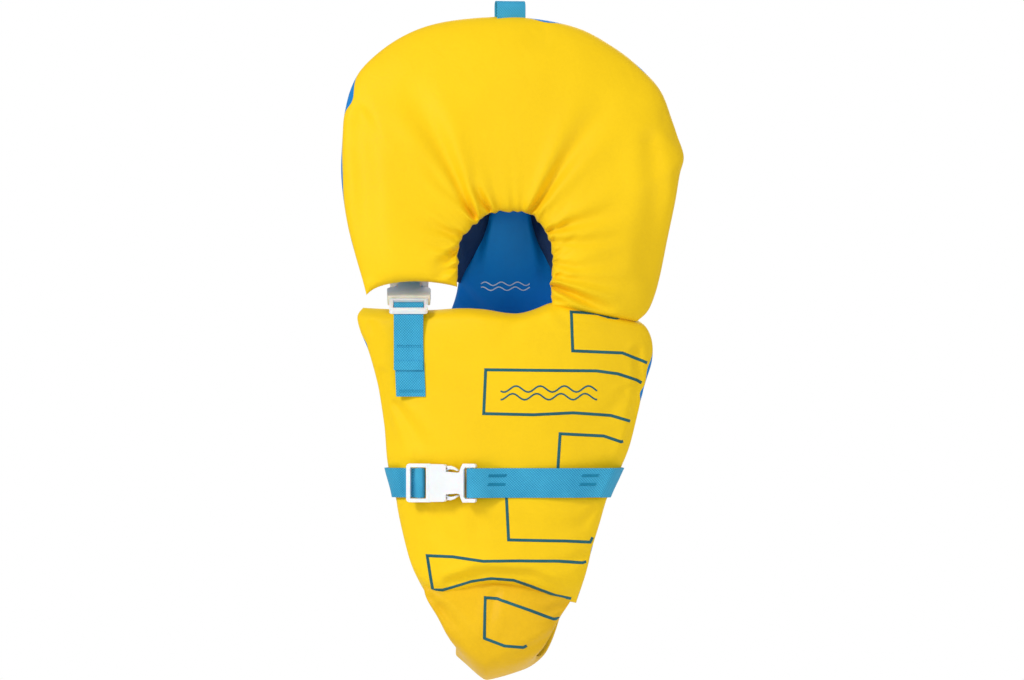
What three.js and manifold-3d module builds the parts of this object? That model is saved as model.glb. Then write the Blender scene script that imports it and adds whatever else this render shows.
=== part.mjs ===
// An infant's life jacket: a chest panel that runs on through the crotch to a back panel, a big horseshoe collar
// that supports the head, a waist belt and a shoulder strap, each closed by a side-release buckle.
// Millimetres, +Z up, +X to the wearer's left, -Y to the front. The origin is the hang point, which is the inside
// top of the grab loop; the whole jacket hangs below it.
import * as THREE from "three";
import { mergeVertices } from "three/addons/utils/BufferGeometryUtils.js";
import Module from "manifold-3d";

const wasm = await Module();
wasm.setup();

// ---- Driving dimensions ----

const WEB_WIDTH = 25; // webbing of the belt, straps and loop
const WEB_THICK = 1.2;
const FABRIC = 1.2; // coated cover cloth with its backing
const GAP = 0.3; // between pieces that touch
const SEAM = 0.15; // half the gap between two halves sewn at one seam

const LOOP_HEIGHT = 11; // inside the grab loop
const LOOP_DEPTH = 8;

const COLLAR_WIDTH = 293;
const COLLAR_HEIGHT = 253;
const COLLAR_THICK = 52;
const COLLAR_END_SHARE = 0.65; // thickness at the ends of the legs, as a share of the middle's
const COLLAR_LEAN = THREE.MathUtils.degToRad(15); // backwards from upright
const NECK_WIDTH = 80;
const NECK_HEIGHT = 74; // from the ends of the legs to the top of the neck arch
const ELASTIC_RADIUS = 1.5;
const ELASTIC_INSET = 6; // from the neck edge to the elastic in its casing

const PANEL_WIDTH = 250; // chest panel at the shoulders
const PANEL_HEIGHT = 258; // chest panel from its top edge to the crotch seam
const PANEL_THICK = 30;
const PANEL_CURVE = 0.002; // y gained per square of x, round the chest
const COLLAR_TO_PANEL = 1.5; // between the collar's sewn leg and the top edge of the chest panel

const BACK_WIDTH = 184;
const BACK_THICK = 26;
const BACK_FLAT = 42; // half the width of the flat middle of the back panel
const BACK_CURVE = 0.004;
const BODY_DEPTH = 101; // between the middles of the chest and back panels
const TONGUE_WIDTH = 30; // top of the back panel, where it is sewn behind the collar
const TONGUE_RISE = 31; // of the back panel above the neck arch
const TONGUE_BEHIND = COLLAR_THICK / 2 + 1; // of the tongue's top behind the middle of the collar

const CROTCH_DROP = 52; // from the crotch seam to the lowest point
const CROTCH_WIDTH = 64; // at the lowest point
const CROTCH_LIFT = 14; // of its edges above its middle there
const CROTCH_FOAM = 6;
const CROTCH_PROUD = 2; // its outer face, out from the panels' seams

const BELT_BELOW = 146; // belt's middle below the chest panel's top edge
const STRAP_X = -86; // shoulder strap's middle
const STRAP_ANCHOR = 73; // lower end of the shoulder strap below the panel's top edge
const STRAP_TAIL = 50; // hemmed free end of the shoulder strap below it
const WAIST_BUCKLE_X = -57;
const SHOULDER_SLOPE = THREE.MathUtils.degToRad(28); // of the shoulder buckle above level
const SHOULDER_BACK = 9.4; // the buckle's origin behind the chest panel's seam
const SHOULDER_UP = 8; // and above it

// Side-release buckle. u runs from the male half's outer bar to the female half's webbing bar, w out of its back.
const BUCKLE_HALF = WEB_WIDTH / 2 + 3.9; // half the outer width
const SLOT_HALF = WEB_WIDTH / 2 + 0.7; // half the webbing slots' width
const CAVITY_HALF = WEB_WIDTH / 2 + 0.4;
const MALE_END = -30;
const MALE_BASE = -9.5;
const MOUTH = -9.2;
const RING_END = 5; // the closed part of the socket, which the prongs latch behind
const CAVITY_END = 16.6;
const NECK_END = 20.5;
const RAIL_END = 30.5;
const LADDER_BAR = -19; // middle of the bar that grips the webbing
const WEB_BAR = 26; // middle of the bar in the female half
const BAR_HALF = 1.25;
const BAR_WRAP = 2.8; // from the bar's middle to the middle of webbing round it
const BUCKLE_MIDDLE = 5.5; // w of the mid-plane
const FEMALE_HALF_THICK = 4.5;
const CAVITY_HALF_THICK = 2.4;
const FRAME_LOW = 3.5;
const FRAME_HIGH = 7.9;
const PRONG_HALF_THICK = 1.9;
const PRONG_ROOT = -8.2;
const LIE_GAP = 0.5; // under webbing that lies on a curved panel
const LAYER_1 = LIE_GAP + WEB_THICK / 2; // middle of webbing that lies on a surface
const LAYER_2 = LAYER_1 + WEB_THICK + 0.3; // middle of a second layer on top of it

// ---- Places worked out from them ----

const COLLAR_TOP = -LOOP_HEIGHT - WEB_THICK - GAP;
const LEG_END = COLLAR_TOP - COLLAR_HEIGHT; // lowest end of the collar, at the wearer's left shoulder
const PANEL_TOP = LEG_END + 3 - COLLAR_TO_PANEL;
const PANEL_BOTTOM = PANEL_TOP - PANEL_HEIGHT;
const PANEL_MIDDLE = -55; // y of the middle of the chest panel's thickness, at its centre line
const BACK_MIDDLE = PANEL_MIDDLE + BODY_DEPTH;
const NECK_TOP = LEG_END + 10 + NECK_HEIGHT;
const LEG_MIDDLE = PANEL_MIDDLE - 1;
const HANG_Y = LEG_MIDDLE + (COLLAR_TOP - LEG_END) * Math.tan(COLLAR_LEAN);
const BELT_Z = PANEL_TOP - BELT_BELOW;
// Ends of the sewn leg, as [x, z]: the collar stops there and the chest panel's top edge follows.
const SEWN_INNER = [0.45 * NECK_WIDTH, LEG_END + 0.045 * COLLAR_HEIGHT];
const SEWN_OUTER = [0.36 * COLLAR_WIDTH, LEG_END];

// ---- Materials ----

const material = (color, roughness) => new THREE.MeshStandardMaterial({ color, roughness, metalness: 0 });
const yellowCloth = material(0xf7cf12, 0.7);
const blueCloth = material(0x0b5fae, 0.7);
const navyCloth = material(0x0c2350, 0.8);
const foam = material(0xf2f0ea, 0.9);
const webbing = material(0x2aa3d6, 0.8);
const whitePlastic = material(0xf4f5f7, 0.35);
const creamPlastic = material(0xefe6d2, 0.4);
const elastic = material(0xe8e8e8, 0.9);

// ---- Shape tools ----

const vec = (x, y, z) => new THREE.Vector3(x, y, z);
const smooth = (t) => THREE.MathUtils.smoothstep(t, 0, 1);
const { lerp } = THREE.MathUtils;
const between = (a, b, count) => Array.from({ length: count }, (_, i) => lerp(a, b, i / (count - 1)));

// A smooth line through a few [x, z] points.
function lineThrough(points, closed = false) {
  return new THREE.CatmullRomCurve3(points.map(([x, z]) => vec(x, 0, z)), closed, "centripetal");
}

// A geometry bent to shape: place says where each of its vertices goes. Its faces are turned round where the
// bending turned them inwards.
function remap(geometry, place) {
  const bent = geometry.toNonIndexed();
  const corners = [];
  for (let i = 0; i < bent.attributes.position.count; i++)
    corners.push(place(vec(0, 0, 0).fromBufferAttribute(bent.attributes.position, i)));
  let volume = 0;
  for (let i = 0; i < corners.length; i += 3)
    volume += corners[i].dot(vec(0, 0, 0).crossVectors(corners[i + 1], corners[i + 2]));
  if (volume < 0)
    for (let i = 0; i < corners.length; i += 3)
      [corners[i + 1], corners[i + 2]] = [corners[i + 2], corners[i + 1]];
  return new THREE.BufferGeometry().setFromPoints(corners);
}

// The grid squares of an indexed geometry that start at one place in its index, split along their other diagonal.
// A thin bent wall needs the same diagonals on both of its faces, or it passes through itself.
function turnDiagonals(geometry, start, count) {
  const index = geometry.index.array;
  for (let i = start; i < start + count; i += 6) {
    const square = index.slice(i, i + 6);
    const shared = square.filter((corner, k) => square.indexOf(corner) !== k);
    const k = [0, 1, 2].find((n) => !shared.includes(square[n]));
    const [a, b, d] = [square[k], square[(k + 1) % 3], square[(k + 2) % 3]];
    const c = square.slice(3).find((corner) => !shared.includes(corner));
    index.set([a, b, c, a, c, d], i);
  }
}

// A box with a station for each value of us along it and of vs across it, bent so that place(u, v, layer) gives
// its corners. The layer is 0 on one face and 1 on the other.
function slab(us, vs, place) {
  const [along, across] = [us.length - 1, vs.length - 1];
  const box = new THREE.BoxGeometry(along, across, 1, along, across, 1).translate(along / 2, across / 2, 0.5);
  const nearFace = box.groups[5];
  turnDiagonals(box, nearFace.start, nearFace.count);
  return remap(box, (p) => place(us[Math.round(p.x)], vs[Math.round(p.y)], Math.round(p.z)));
}

// Webbing: a flat strip through two or more lines that run side by side, each a list of points.
function ribbon(lines, thick = WEB_THICK) {
  const [first, end] = [lines[0], lines.at(-1)];
  const last = first.length - 1;
  return slab([...first.keys()], [...lines.keys()], (i, line, layer) => {
    const [before, after] = [Math.max(0, i - 1), Math.min(last, i + 1)];
    const along = first[after].clone().add(end[after]).sub(first[before]).sub(end[before]);
    const normal = along.cross(first[i].clone().sub(end[i])).setLength(thick);
    return lines[line][i].clone().addScaledVector(normal, layer - 0.5);
  });
}

const WEB_LINES = between(WEB_WIDTH / 2, -WEB_WIDTH / 2, 3); // places across webbing
const STRAP_LINES = between(WEB_WIDTH / 2, -WEB_WIDTH / 2, 5); // where it follows a curve across itself too

function solidOf(geometry) {
  const bare = geometry.index ? geometry.toNonIndexed() : geometry.clone();
  bare.deleteAttribute("normal");
  bare.deleteAttribute("uv");
  const merged = mergeVertices(bare, 1e-4);
  const mesh = new wasm.Mesh({
    numProp: 3,
    vertProperties: merged.attributes.position.array,
    triVerts: new Uint32Array(merged.index.array),
  });
  return new wasm.Manifold(mesh);
}

function geometryOf(solid) {
  const mesh = solid.getMesh();
  return new THREE.BufferGeometry()
    .setAttribute("position", new THREE.BufferAttribute(new Float32Array(mesh.vertProperties), 3))
    .setIndex(new THREE.BufferAttribute(new Uint32Array(mesh.triVerts), 1));
}

// A plate with an outline of [u, v] points, from w = low to w = high.
function plate(outline, low, high) {
  const shape = new THREE.Shape(outline.map(([u, v]) => new THREE.Vector2(u, v)));
  const made = new THREE.ExtrudeGeometry(shape, { depth: high - low, bevelEnabled: false });
  return solidOf(made.translate(0, 0, low));
}

function block(u0, u1, half, low, high) {
  const box = new THREE.BoxGeometry(u1 - u0, 2 * half, high - low);
  return solidOf(box.translate((u0 + u1) / 2, 0, (low + high) / 2));
}

// ---- Padded panels: an outline, a middle surface and a thickness that fades out at the seam round the edge ----

const RIM_POINTS = 32;
const COVER_RINGS = [0.25, 0.45, 0.65, 0.8, 0.9, 0.97, 1];
const FOAM_RINGS = COVER_RINGS.filter((share) => share <= 0.9);
const FOAM_SHARE = 0.84; // of the cover's inside thickness

function panel(outline, centre, thick, middle) {
  const line = lineThrough(outline, true);
  const rim = Array.from({ length: RIM_POINTS }, (_, j) => line.getPointAt(j / RIM_POINTS));
  return { rim, centre: vec(centre[0], 0, centre[1]), half: thick / 2, middle };
}

// Half thickness as a share of the most, at a share of the way from the centre to the seam.
const crown = (share) => Math.sqrt(1 - Math.max(0, (share - 0.45) / 0.55) ** 3);

// A point of a panel at a share of the way to rim point j; depth is behind the middle surface.
function panelPoint(pad, share, j, depth, inset = 0) {
  const out = pad.rim[j].clone().sub(pad.centre);
  const p = out.setLength((out.length() - inset) * share).add(pad.centre);
  return vec(p.x, pad.middle(p.x, p.z) + depth, p.z);
}

// The solid between two dished surfaces of a panel, given the depth of each at each ring. It is turned like a
// bowl, from the centre out to the seam and back, and then stretched to the panel's outline.
function panelSolid(pad, rings, nearDepth, farDepth, farInset = 0) {
  const shares = [0, ...rings];
  const out = shares.map((_, ring) => new THREE.Vector2(ring, 0));
  const backIn = shares.map((_, ring) => new THREE.Vector2(ring, 1)).reverse();
  const bowl = new THREE.LatheGeometry([...out, ...backIn], RIM_POINTS);
  const farSquares = shares.length - 1;
  const squares = out.length + backIn.length - 1;
  for (let j = 0; j < RIM_POINTS; j++)
    turnDiagonals(bowl, 6 * (j * squares + squares - farSquares), 6 * farSquares);
  return remap(bowl, (p) => {
    const share = shares[Math.round(Math.hypot(p.x, p.z))];
    const turn = Math.atan2(p.x, p.z) / (2 * Math.PI);
    const j = Math.round((turn + 1) * RIM_POINTS) % RIM_POINTS;
    return p.y > 0.5
      ? panelPoint(pad, share, j, farDepth(share), farInset)
      : panelPoint(pad, share, j, nearDepth(share));
  });
}

// One half of a sewn cover: side -1 is the half that faces the front.
function panelCover(pad, side) {
  const outside = (share) => side * (SEAM + (pad.half - SEAM) * crown(share));
  const inside = (share) => side * (SEAM + (pad.half - SEAM - FABRIC) * crown(share));
  return panelSolid(pad, COVER_RINGS, outside, inside, FABRIC);
}

function panelFoam(pad, side) {
  const face = (share) => side * (SEAM + (pad.half - SEAM - FABRIC) * FOAM_SHARE * crown(share));
  return panelSolid(pad, FOAM_RINGS, () => side * SEAM, face);
}

// How far out a place is, as a share of the way from a panel's centre to its seam.
function shareAt(pad, x, z) {
  const [dx, dz] = [x - pad.centre.x, z - pad.centre.z];
  let reach = Infinity;
  pad.rim.forEach((a, j) => {
    const b = pad.rim[(j + 1) % RIM_POINTS];
    const [ax, az] = [a.x - pad.centre.x, a.z - pad.centre.z];
    const [ex, ez] = [b.x - a.x, b.z - a.z];
    const cross = dx * ez - dz * ex;
    const along = (ax * ez - az * ex) / cross;
    const across = (ax * dz - az * dx) / cross;
    if (along > 0 && across >= 0 && across <= 1) reach = Math.min(reach, along);
  });
  return Math.min(1, 1 / reach);
}

// y of a panel's outer face at a place, at a height above that face.
function faceY(pad, side, x, z, height) {
  const half = SEAM + (pad.half - SEAM) * crown(shareAt(pad, x, z));
  return pad.middle(x, z) + side * (half + height);
}

// x of a panel's seam at one height, on one side.
function rimX(pad, z, side) {
  let found = 0;
  pad.rim.forEach((a, j) => {
    const b = pad.rim[(j + 1) % RIM_POINTS];
    if ((a.z - z) * (b.z - z) > 0 || a.z === b.z) return;
    const x = lerp(a.x, b.x, (z - a.z) / (b.z - a.z));
    if ((x - pad.centre.x) * side > 0) found = x;
  });
  return found;
}

// ---- Chest panel ----

const chestMiddle = (x) => PANEL_MIDDLE + PANEL_CURVE * x * x;

// The outline dips at the neck, rises to the sewn leg, and narrows from the shoulders to the crotch. Across:
// shares of half the width. Down: shares of the height.
const sewnEdge = [0, 0.35, 0.7, 1].map((share) => [
  lerp(SEWN_INNER[0], SEWN_OUTER[0], share),
  lerp(SEWN_INNER[1], SEWN_OUTER[1], share) - COLLAR_TO_PANEL,
]);
const place = ([across, down]) => [across * PANEL_WIDTH / 2, PANEL_TOP - down * PANEL_HEIGHT];
const chest = panel(
  [
    ...[[-0.95, 0.0], [-0.5, 0.0], [0.0, 0.012]].map(place),
    ...sewnEdge,
    ...[
      [0.97, 0.09], [0.93, 0.22], [0.84, 0.38], [0.71, 0.56], [0.62, 0.76], [0.54, 0.92], [0.44, 0.995],
      [0.0, 1.0], [-0.5, 0.995], [-0.62, 0.92], [-0.72, 0.74], [-0.82, 0.55], [-0.88, 0.34],
      [-0.94, 0.17], [-1.02, 0.07],
    ].map(place),
  ],
  [-0.03 * PANEL_WIDTH, PANEL_TOP - 0.5 * PANEL_HEIGHT],
  PANEL_THICK,
  chestMiddle,
);

// ---- Back panel: wide behind the chest, with a narrow tongue that leans forward to the collar's neck arch ----

const TONGUE_TOP = NECK_TOP + TONGUE_RISE;
const collarMiddle = (x, z) => {
  // The sewn leg follows the chest panel's curve, and the free leg stays flat.
  const curve = x > 0 ? PANEL_CURVE * smooth((NECK_TOP + 30 - z) / 100) : 0;
  return LEG_MIDDLE + (z - LEG_END) * Math.tan(COLLAR_LEAN) + curve * x * x;
};
const backMiddle = (x, z) => {
  const lean = smooth((z - PANEL_TOP + 45) / (TONGUE_TOP - PANEL_TOP + 20));
  const top = collarMiddle(0, TONGUE_TOP) + TONGUE_BEHIND;
  return lerp(BACK_MIDDLE, top, lean) - BACK_CURVE * Math.max(0, Math.abs(x) - BACK_FLAT) ** 2;
};

const BACK_SIDE = [
  [0.46, PANEL_TOP + 22], [0.56, PANEL_TOP - 4], [0.85, PANEL_TOP - 40], [1, PANEL_TOP - 85],
  [0.95, PANEL_TOP - 140], [0.82, PANEL_TOP - 190], [0.63, PANEL_BOTTOM + 20], [0.5, PANEL_BOTTOM],
];
const tongueSide = [[TONGUE_WIDTH / 2, TONGUE_TOP], [TONGUE_WIDTH / 2 + 2, NECK_TOP]];
const backSide = [...tongueSide, ...BACK_SIDE.map(([share, z]) => [share * BACK_WIDTH / 2, z])];
const back = panel(
  [...backSide, [0, PANEL_BOTTOM], ...backSide.map(([x, z]) => [-x, z]).reverse()],
  [0, PANEL_TOP - 0.45 * PANEL_HEIGHT],
  BACK_THICK,
  backMiddle,
);

// ---- Crotch piece: the cloth and thin foam that turn under the wearer, from the chest panel to the back panel ----

const CROTCH_STEPS = 14;
const CROTCH_COLUMNS = [-1, -0.6, 0, 0.6, 1];
const lowest = (pad) => Math.min(...pad.rim.map((p) => p.z));

// A point at a share along the turn, a share across it, and a depth inside its outer face.
function crotchPoint(along, across, depth) {
  const angle = along * Math.PI;
  const frontX = chest.centre.x + 1;
  const middleX = lerp(frontX, 0, smooth(along));
  const frontHalf = 0.48 * PANEL_WIDTH / 2;
  const backHalf = 0.48 * BACK_WIDTH / 2;
  const bulge = Math.sin(angle) ** 1.5;
  const halfWidth = lerp(lerp(frontHalf, backHalf, along), CROTCH_WIDTH / 2, bulge);
  const x = middleX + across * halfWidth;
  const yFront = chestMiddle(x) - CROTCH_PROUD + depth;
  const yBack = BACK_MIDDLE + CROTCH_PROUD - depth;
  const y = lerp(yFront, yBack, (1 - Math.cos(angle)) / 2);
  const drop = (CROTCH_DROP - depth) * Math.sin(angle) - CROTCH_LIFT * Math.sin(angle) * across * across;
  return vec(x, y, lerp(lowest(chest), lowest(back), along) - GAP - drop);
}

function crotchLayer(from, to) {
  const steps = Array.from({ length: CROTCH_STEPS + 1 }, (_, i) => i / CROTCH_STEPS);
  return slab(steps, CROTCH_COLUMNS, (along, across, layer) => crotchPoint(along, across, layer ? to : from));
}

// ---- Collar: a horseshoe cushion round the neck opening, open at the wearer's right shoulder ----

const C = COLLAR_WIDTH / 2;
const H = COLLAR_HEIGHT;
// From the end of the free leg, at the wearer's right, round the top to the leg sewn to the chest panel.
const collarOuter = lineThrough([
  [-0.84 * C, LEG_END + 0.07 * H], [-0.975 * C, LEG_END + 0.3 * H], [-0.985 * C, LEG_END + 0.56 * H],
  [-0.87 * C, LEG_END + 0.82 * H], [-0.58 * C, LEG_END + 0.955 * H], [-0.05 * C, COLLAR_TOP],
  [0.42 * C, LEG_END + 0.965 * H], [0.77 * C, LEG_END + 0.85 * H], [0.96 * C, LEG_END + 0.66 * H],
  [1.0 * C, LEG_END + 0.53 * H], [0.94 * C, LEG_END + 0.34 * H], [0.86 * C, LEG_END + 0.13 * H],
  SEWN_OUTER,
]);
const N = NECK_WIDTH / 2;
const collarInner = lineThrough([
  [-1.1 * N, LEG_END + 0.1 * H], [-1.1 * N, NECK_TOP - 34], [-0.9 * N, NECK_TOP - 14], [-0.42 * N, NECK_TOP],
  [0.42 * N, NECK_TOP], [0.8 * N, NECK_TOP - 14], [0.92 * N, NECK_TOP - 34], SEWN_INNER,
]);
const AROUND = [0, 0.012, 0.035, 0.07, 0.12, 0.18, 0.24, 0.3, 0.36, 0.42, 0.47, 0.53, 0.58, 0.64, 0.7, 0.76, 0.82,
  0.88, 0.93, 0.965, 0.988, 1];
const ACROSS = [0, 0.05, 0.16, 0.36, 0.64, 0.84, 0.95, 1];

function collarPlace(around, across) {
  return collarInner.getPointAt(around).lerp(collarOuter.getPointAt(around), across);
}

// Half thickness: full in the middle of the ring, nothing at the seams.
function collarHalf(around, across) {
  const toEnds = lerp(COLLAR_END_SHARE, 1, Math.sin(Math.PI * around));
  const acrossCrown = Math.sqrt(1 - Math.abs(2 * across - 1) ** 4);
  const endCrown = Math.sqrt(1 - Math.abs(2 * around - 1) ** 30);
  return (COLLAR_THICK / 2) * toEnds * acrossCrown * endCrown;
}

function collarPoint(around, across, depth) {
  const p = collarPlace(around, across);
  return vec(p.x, collarMiddle(p.x, p.z) + depth, p.z);
}

// Shares moved in from both ends, so that an inner grid keeps clear of the seams.
const insetShare = (share, inset) => inset + (1 - 2 * inset) * share;

function collarCover(side) {
  const shrink = 1 - FABRIC / (COLLAR_THICK / 2);
  return slab(AROUND, ACROSS, (a, b, layer) => {
    const depth = side * (SEAM + (layer ? shrink : 1) * collarHalf(a, b));
    return layer ? collarPoint(insetShare(a, 0.004), insetShare(b, 0.014), depth) : collarPoint(a, b, depth);
  });
}

function collarFoam(side) {
  const around = AROUND.filter((a) => a > 0.03 && a < 0.97);
  const across = ACROSS.filter((b) => b > 0.1 && b < 0.9);
  return slab(around, across, (a, b, layer) => {
    return collarPoint(a, b, side * (SEAM + (layer ? FOAM_SHARE * collarHalf(a, b) : 0)));
  });
}

// The elastic that gathers the neck edge lies in a casing just inside the seam, in front of the seam's plane.
function neckElastic() {
  const stations = AROUND.filter((a) => a > 0.03 && a < 0.97);
  const line = new THREE.CatmullRomCurve3(stations.map((a) => {
    const width = collarInner.getPointAt(a).distanceTo(collarOuter.getPointAt(a));
    return collarPoint(a, ELASTIC_INSET / width, -SEAM - ELASTIC_RADIUS - GAP);
  }));
  const section = new THREE.Shape().absarc(0, 0, ELASTIC_RADIUS, 0, 2 * Math.PI);
  return new THREE.ExtrudeGeometry(section, {
    extrudePath: line,
    steps: 2 * stations.length,
    curveSegments: 3,
    bevelEnabled: false,
  });
}

// Cloth that closes the gap between the collar's neck edge and the edge of the back panel's tongue.
function neckGusset(side) {
  const low = LEG_END + 0.1 * H + 6;
  return slab([0, 0.2, 0.4, 0.6, 0.8, 1], [0, 1], (step, toBack, layer) => {
    const around = side < 0 ? lerp(0.05, 0.36, step) : lerp(0.95, 0.64, step);
    const edge = collarInner.getPointAt(around);
    const away = collarOuter.getPointAt(around).sub(edge).setLength(1);
    const front = edge.addScaledVector(away, -2.2);
    const z = lerp(low, NECK_TOP - 2, step);
    const x = rimX(back, z, side) + side * 0.7;
    const p = toBack ? vec(x, backMiddle(x, z), z) : vec(front.x, collarMiddle(front.x, front.z), front.z);
    return p.setX(p.x + layer * side * FABRIC);
  });
}

// ---- Grab loop on the top seam of the collar ----

function grabLoop() {
  const arc = (k) => {
    const angle = (k / 20) * 2 * Math.PI;
    const [c, s] = [Math.cos(angle), Math.sin(angle)];
    const y = Math.sign(c) * Math.abs(c) ** 0.7 * (LOOP_DEPTH + WEB_THICK) / 2;
    const z = Math.sign(s) * Math.abs(s) ** 0.7 * (LOOP_HEIGHT + WEB_THICK) / 2;
    return [y + HANG_Y, z - LOOP_HEIGHT / 2];
  };
  const outline = (grow) => Array.from({ length: 20 }, (_, k) => {
    const [y, z] = arc(k);
    const out = new THREE.Vector2(y - HANG_Y, z + LOOP_HEIGHT / 2);
    out.setLength(out.length() + grow);
    return new THREE.Vector2(out.x + HANG_Y, out.y - LOOP_HEIGHT / 2);
  });
  const shape = new THREE.Shape(outline(WEB_THICK / 2));
  shape.holes.push(new THREE.Path(outline(-WEB_THICK / 2)));
  const made = new THREE.ExtrudeGeometry(shape, { depth: WEB_WIDTH, bevelEnabled: false });
  // The extrusion runs along Z, and its x and y are the loop's y and z.
  const turn = new THREE.Matrix4().makeBasis(vec(0, 1, 0), vec(0, 0, 1), vec(1, 0, 0));
  return made.applyMatrix4(turn).translate(-WEB_WIDTH / 2, 0, 0);
}

// ---- Side-release buckle, in its own frame of u, v and w ----

const mirrored = (half) => [...half, ...half.map(([u, v]) => [u, -v]).reverse()];

function femaleHalf() {
  const [low, high] = [BUCKLE_MIDDLE - FEMALE_HALF_THICK, BUCKLE_MIDDLE + FEMALE_HALF_THICK];
  const body = plate(mirrored([
    [MOUTH, BUCKLE_HALF - 0.4], [RING_END - 2, BUCKLE_HALF - 0.6], [RING_END, BUCKLE_HALF - 2], [RING_END, 9.6],
    [NECK_END - 6, 8.8], [NECK_END - 3, 9.4], [NECK_END, 11.5],
  ]), low, high);
  const rail = [
    [NECK_END - 4.3, 8.4], [NECK_END - 2.9, 12.6], [NECK_END - 1, BUCKLE_HALF], [RAIL_END - 1, BUCKLE_HALF],
    [RAIL_END, BUCKLE_HALF - 1], [RAIL_END, SLOT_HALF], [NECK_END + 1, SLOT_HALF], [NECK_END - 1.2, 9.8],
  ];
  const flipped = rail.map(([u, v]) => [u, -v]).reverse();
  const bar = block(WEB_BAR - BAR_HALF, WEB_BAR + BAR_HALF, SLOT_HALF + 1, BUCKLE_MIDDLE - BAR_HALF,
    BUCKLE_MIDDLE + BAR_HALF);
  const cavity = block(MOUTH - 1, CAVITY_END, CAVITY_HALF, BUCKLE_MIDDLE - CAVITY_HALF_THICK,
    BUCKLE_MIDDLE + CAVITY_HALF_THICK);
  return geometryOf(body
    .add(plate(rail, low + 1.2, high - 1.2))
    .add(plate(flipped, low + 1.2, high - 1.2))
    .add(bar)
    .subtract(cavity));
}

function maleHalf() {
  const frame = plate(mirrored([
    [MALE_END, BUCKLE_HALF - 2.4], [MALE_END + 0.8, BUCKLE_HALF - 0.8], [MALE_END + 2.6, BUCKLE_HALF],
    [MALE_BASE, BUCKLE_HALF],
  ]), FRAME_LOW, FRAME_HIGH);
  const window = block(MALE_END + 3.4, MALE_BASE - 3.2, SLOT_HALF, FRAME_LOW - 1, FRAME_HIGH + 1);
  const bar = block(LADDER_BAR - BAR_HALF, LADDER_BAR + BAR_HALF, SLOT_HALF + 1, BUCKLE_MIDDLE - 1.1,
    BUCKLE_MIDDLE + 1.1);
  const plug = block(MALE_BASE - 1, PRONG_ROOT - GAP, CAVITY_HALF - GAP, BUCKLE_MIDDLE - PRONG_HALF_THICK,
    BUCKLE_MIDDLE + PRONG_HALF_THICK);
  const guide = plate([[MALE_BASE - 1, -2], [CAVITY_END - 4, -1.6], [CAVITY_END - 2.4, 0], [CAVITY_END - 4, 1.6],
    [MALE_BASE - 1, 2]], BUCKLE_MIDDLE - 1.5, BUCKLE_MIDDLE + 1.5);
  return geometryOf(frame.subtract(window).add(bar).add(plug).add(guide));
}

// A prong of the male half, on the +v side: a springy arm with the pad that is squeezed, whose square shoulder
// latches behind the socket's closed ring.
function prong(side) {
  const shoulder = RING_END + 0.4;
  const outline = [
    [PRONG_ROOT, 7.2], [-3, 7.4], [2, 8.6], [shoulder, 10.6], [8, 11.6], [11.5, 11.2], [14.4, 10.1], [15.3, 10.2],
    [15.2, 11.2], [12, 13.4], [8.5, 14.6], [shoulder, 14.4], [shoulder, 12], [PRONG_ROOT, 10.2],
  ];
  const turned = side > 0 ? outline : outline.map(([u, v]) => [u, -v]).reverse();
  return geometryOf(plate(turned, BUCKLE_MIDDLE - PRONG_HALF_THICK, BUCKLE_MIDDLE + PRONG_HALF_THICK));
}

// Where the webbing runs round the ladder bar, from the free end's side to the loaded side, as [u, w].
const FOLD = [
  [MALE_END + 5, LAYER_2], [LADDER_BAR - 4.6, LAYER_2 + 0.3], [LADDER_BAR - 3.5, 4.4], [LADDER_BAR - 3.1, 6.2],
  [LADDER_BAR - 1.8, 7.6], [LADDER_BAR, 7.9], [LADDER_BAR + 1.8, 7.6], [LADDER_BAR + 3.1, 6.2],
  [LADDER_BAR + 3.5, 4.4], [LADDER_BAR + 3.6, LAYER_2 + 0.2],
];
// Where it runs round the bar in the female half, from the layer underneath to the one on top, as [u, w].
const BAR_TURN = [
  [WEB_BAR + 3.2, 3.1], [WEB_BAR + 0.4, 2.9], [WEB_BAR - 1.9, 3.7], [WEB_BAR - 2.7, 5.5], [WEB_BAR - 1.9, 7.3],
  [WEB_BAR + 0.2, 8.1], [WEB_BAR + 3, 7.6],
];

// A frame that maps a buckle's u, v and w into the jacket.
function buckleFrame(origin, along, out) {
  const across = out.clone().cross(along);
  return new THREE.Matrix4().makeBasis(along, across, out).setPosition(origin);
}

const inFrame = (frame, u, v, w) => vec(u, v, w).applyMatrix4(frame);

// ---- Waist belt ----

const onChest = (x, z, height) => vec(x, faceY(chest, -1, x, z, height), z);
const onBack = (x, z, height) => vec(x, faceY(back, 1, x, z, height), z);

const waistOrigin = onChest(WAIST_BUCKLE_X, BELT_Z, 0);
const waistAlong = onChest(WAIST_BUCKLE_X + 5, BELT_Z, 0).sub(onChest(WAIST_BUCKLE_X - 5, BELT_Z, 0)).normalize();
const waistFrame = buckleFrame(waistOrigin, waistAlong, waistAlong.clone().cross(vec(0, 0, 1)));

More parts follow.
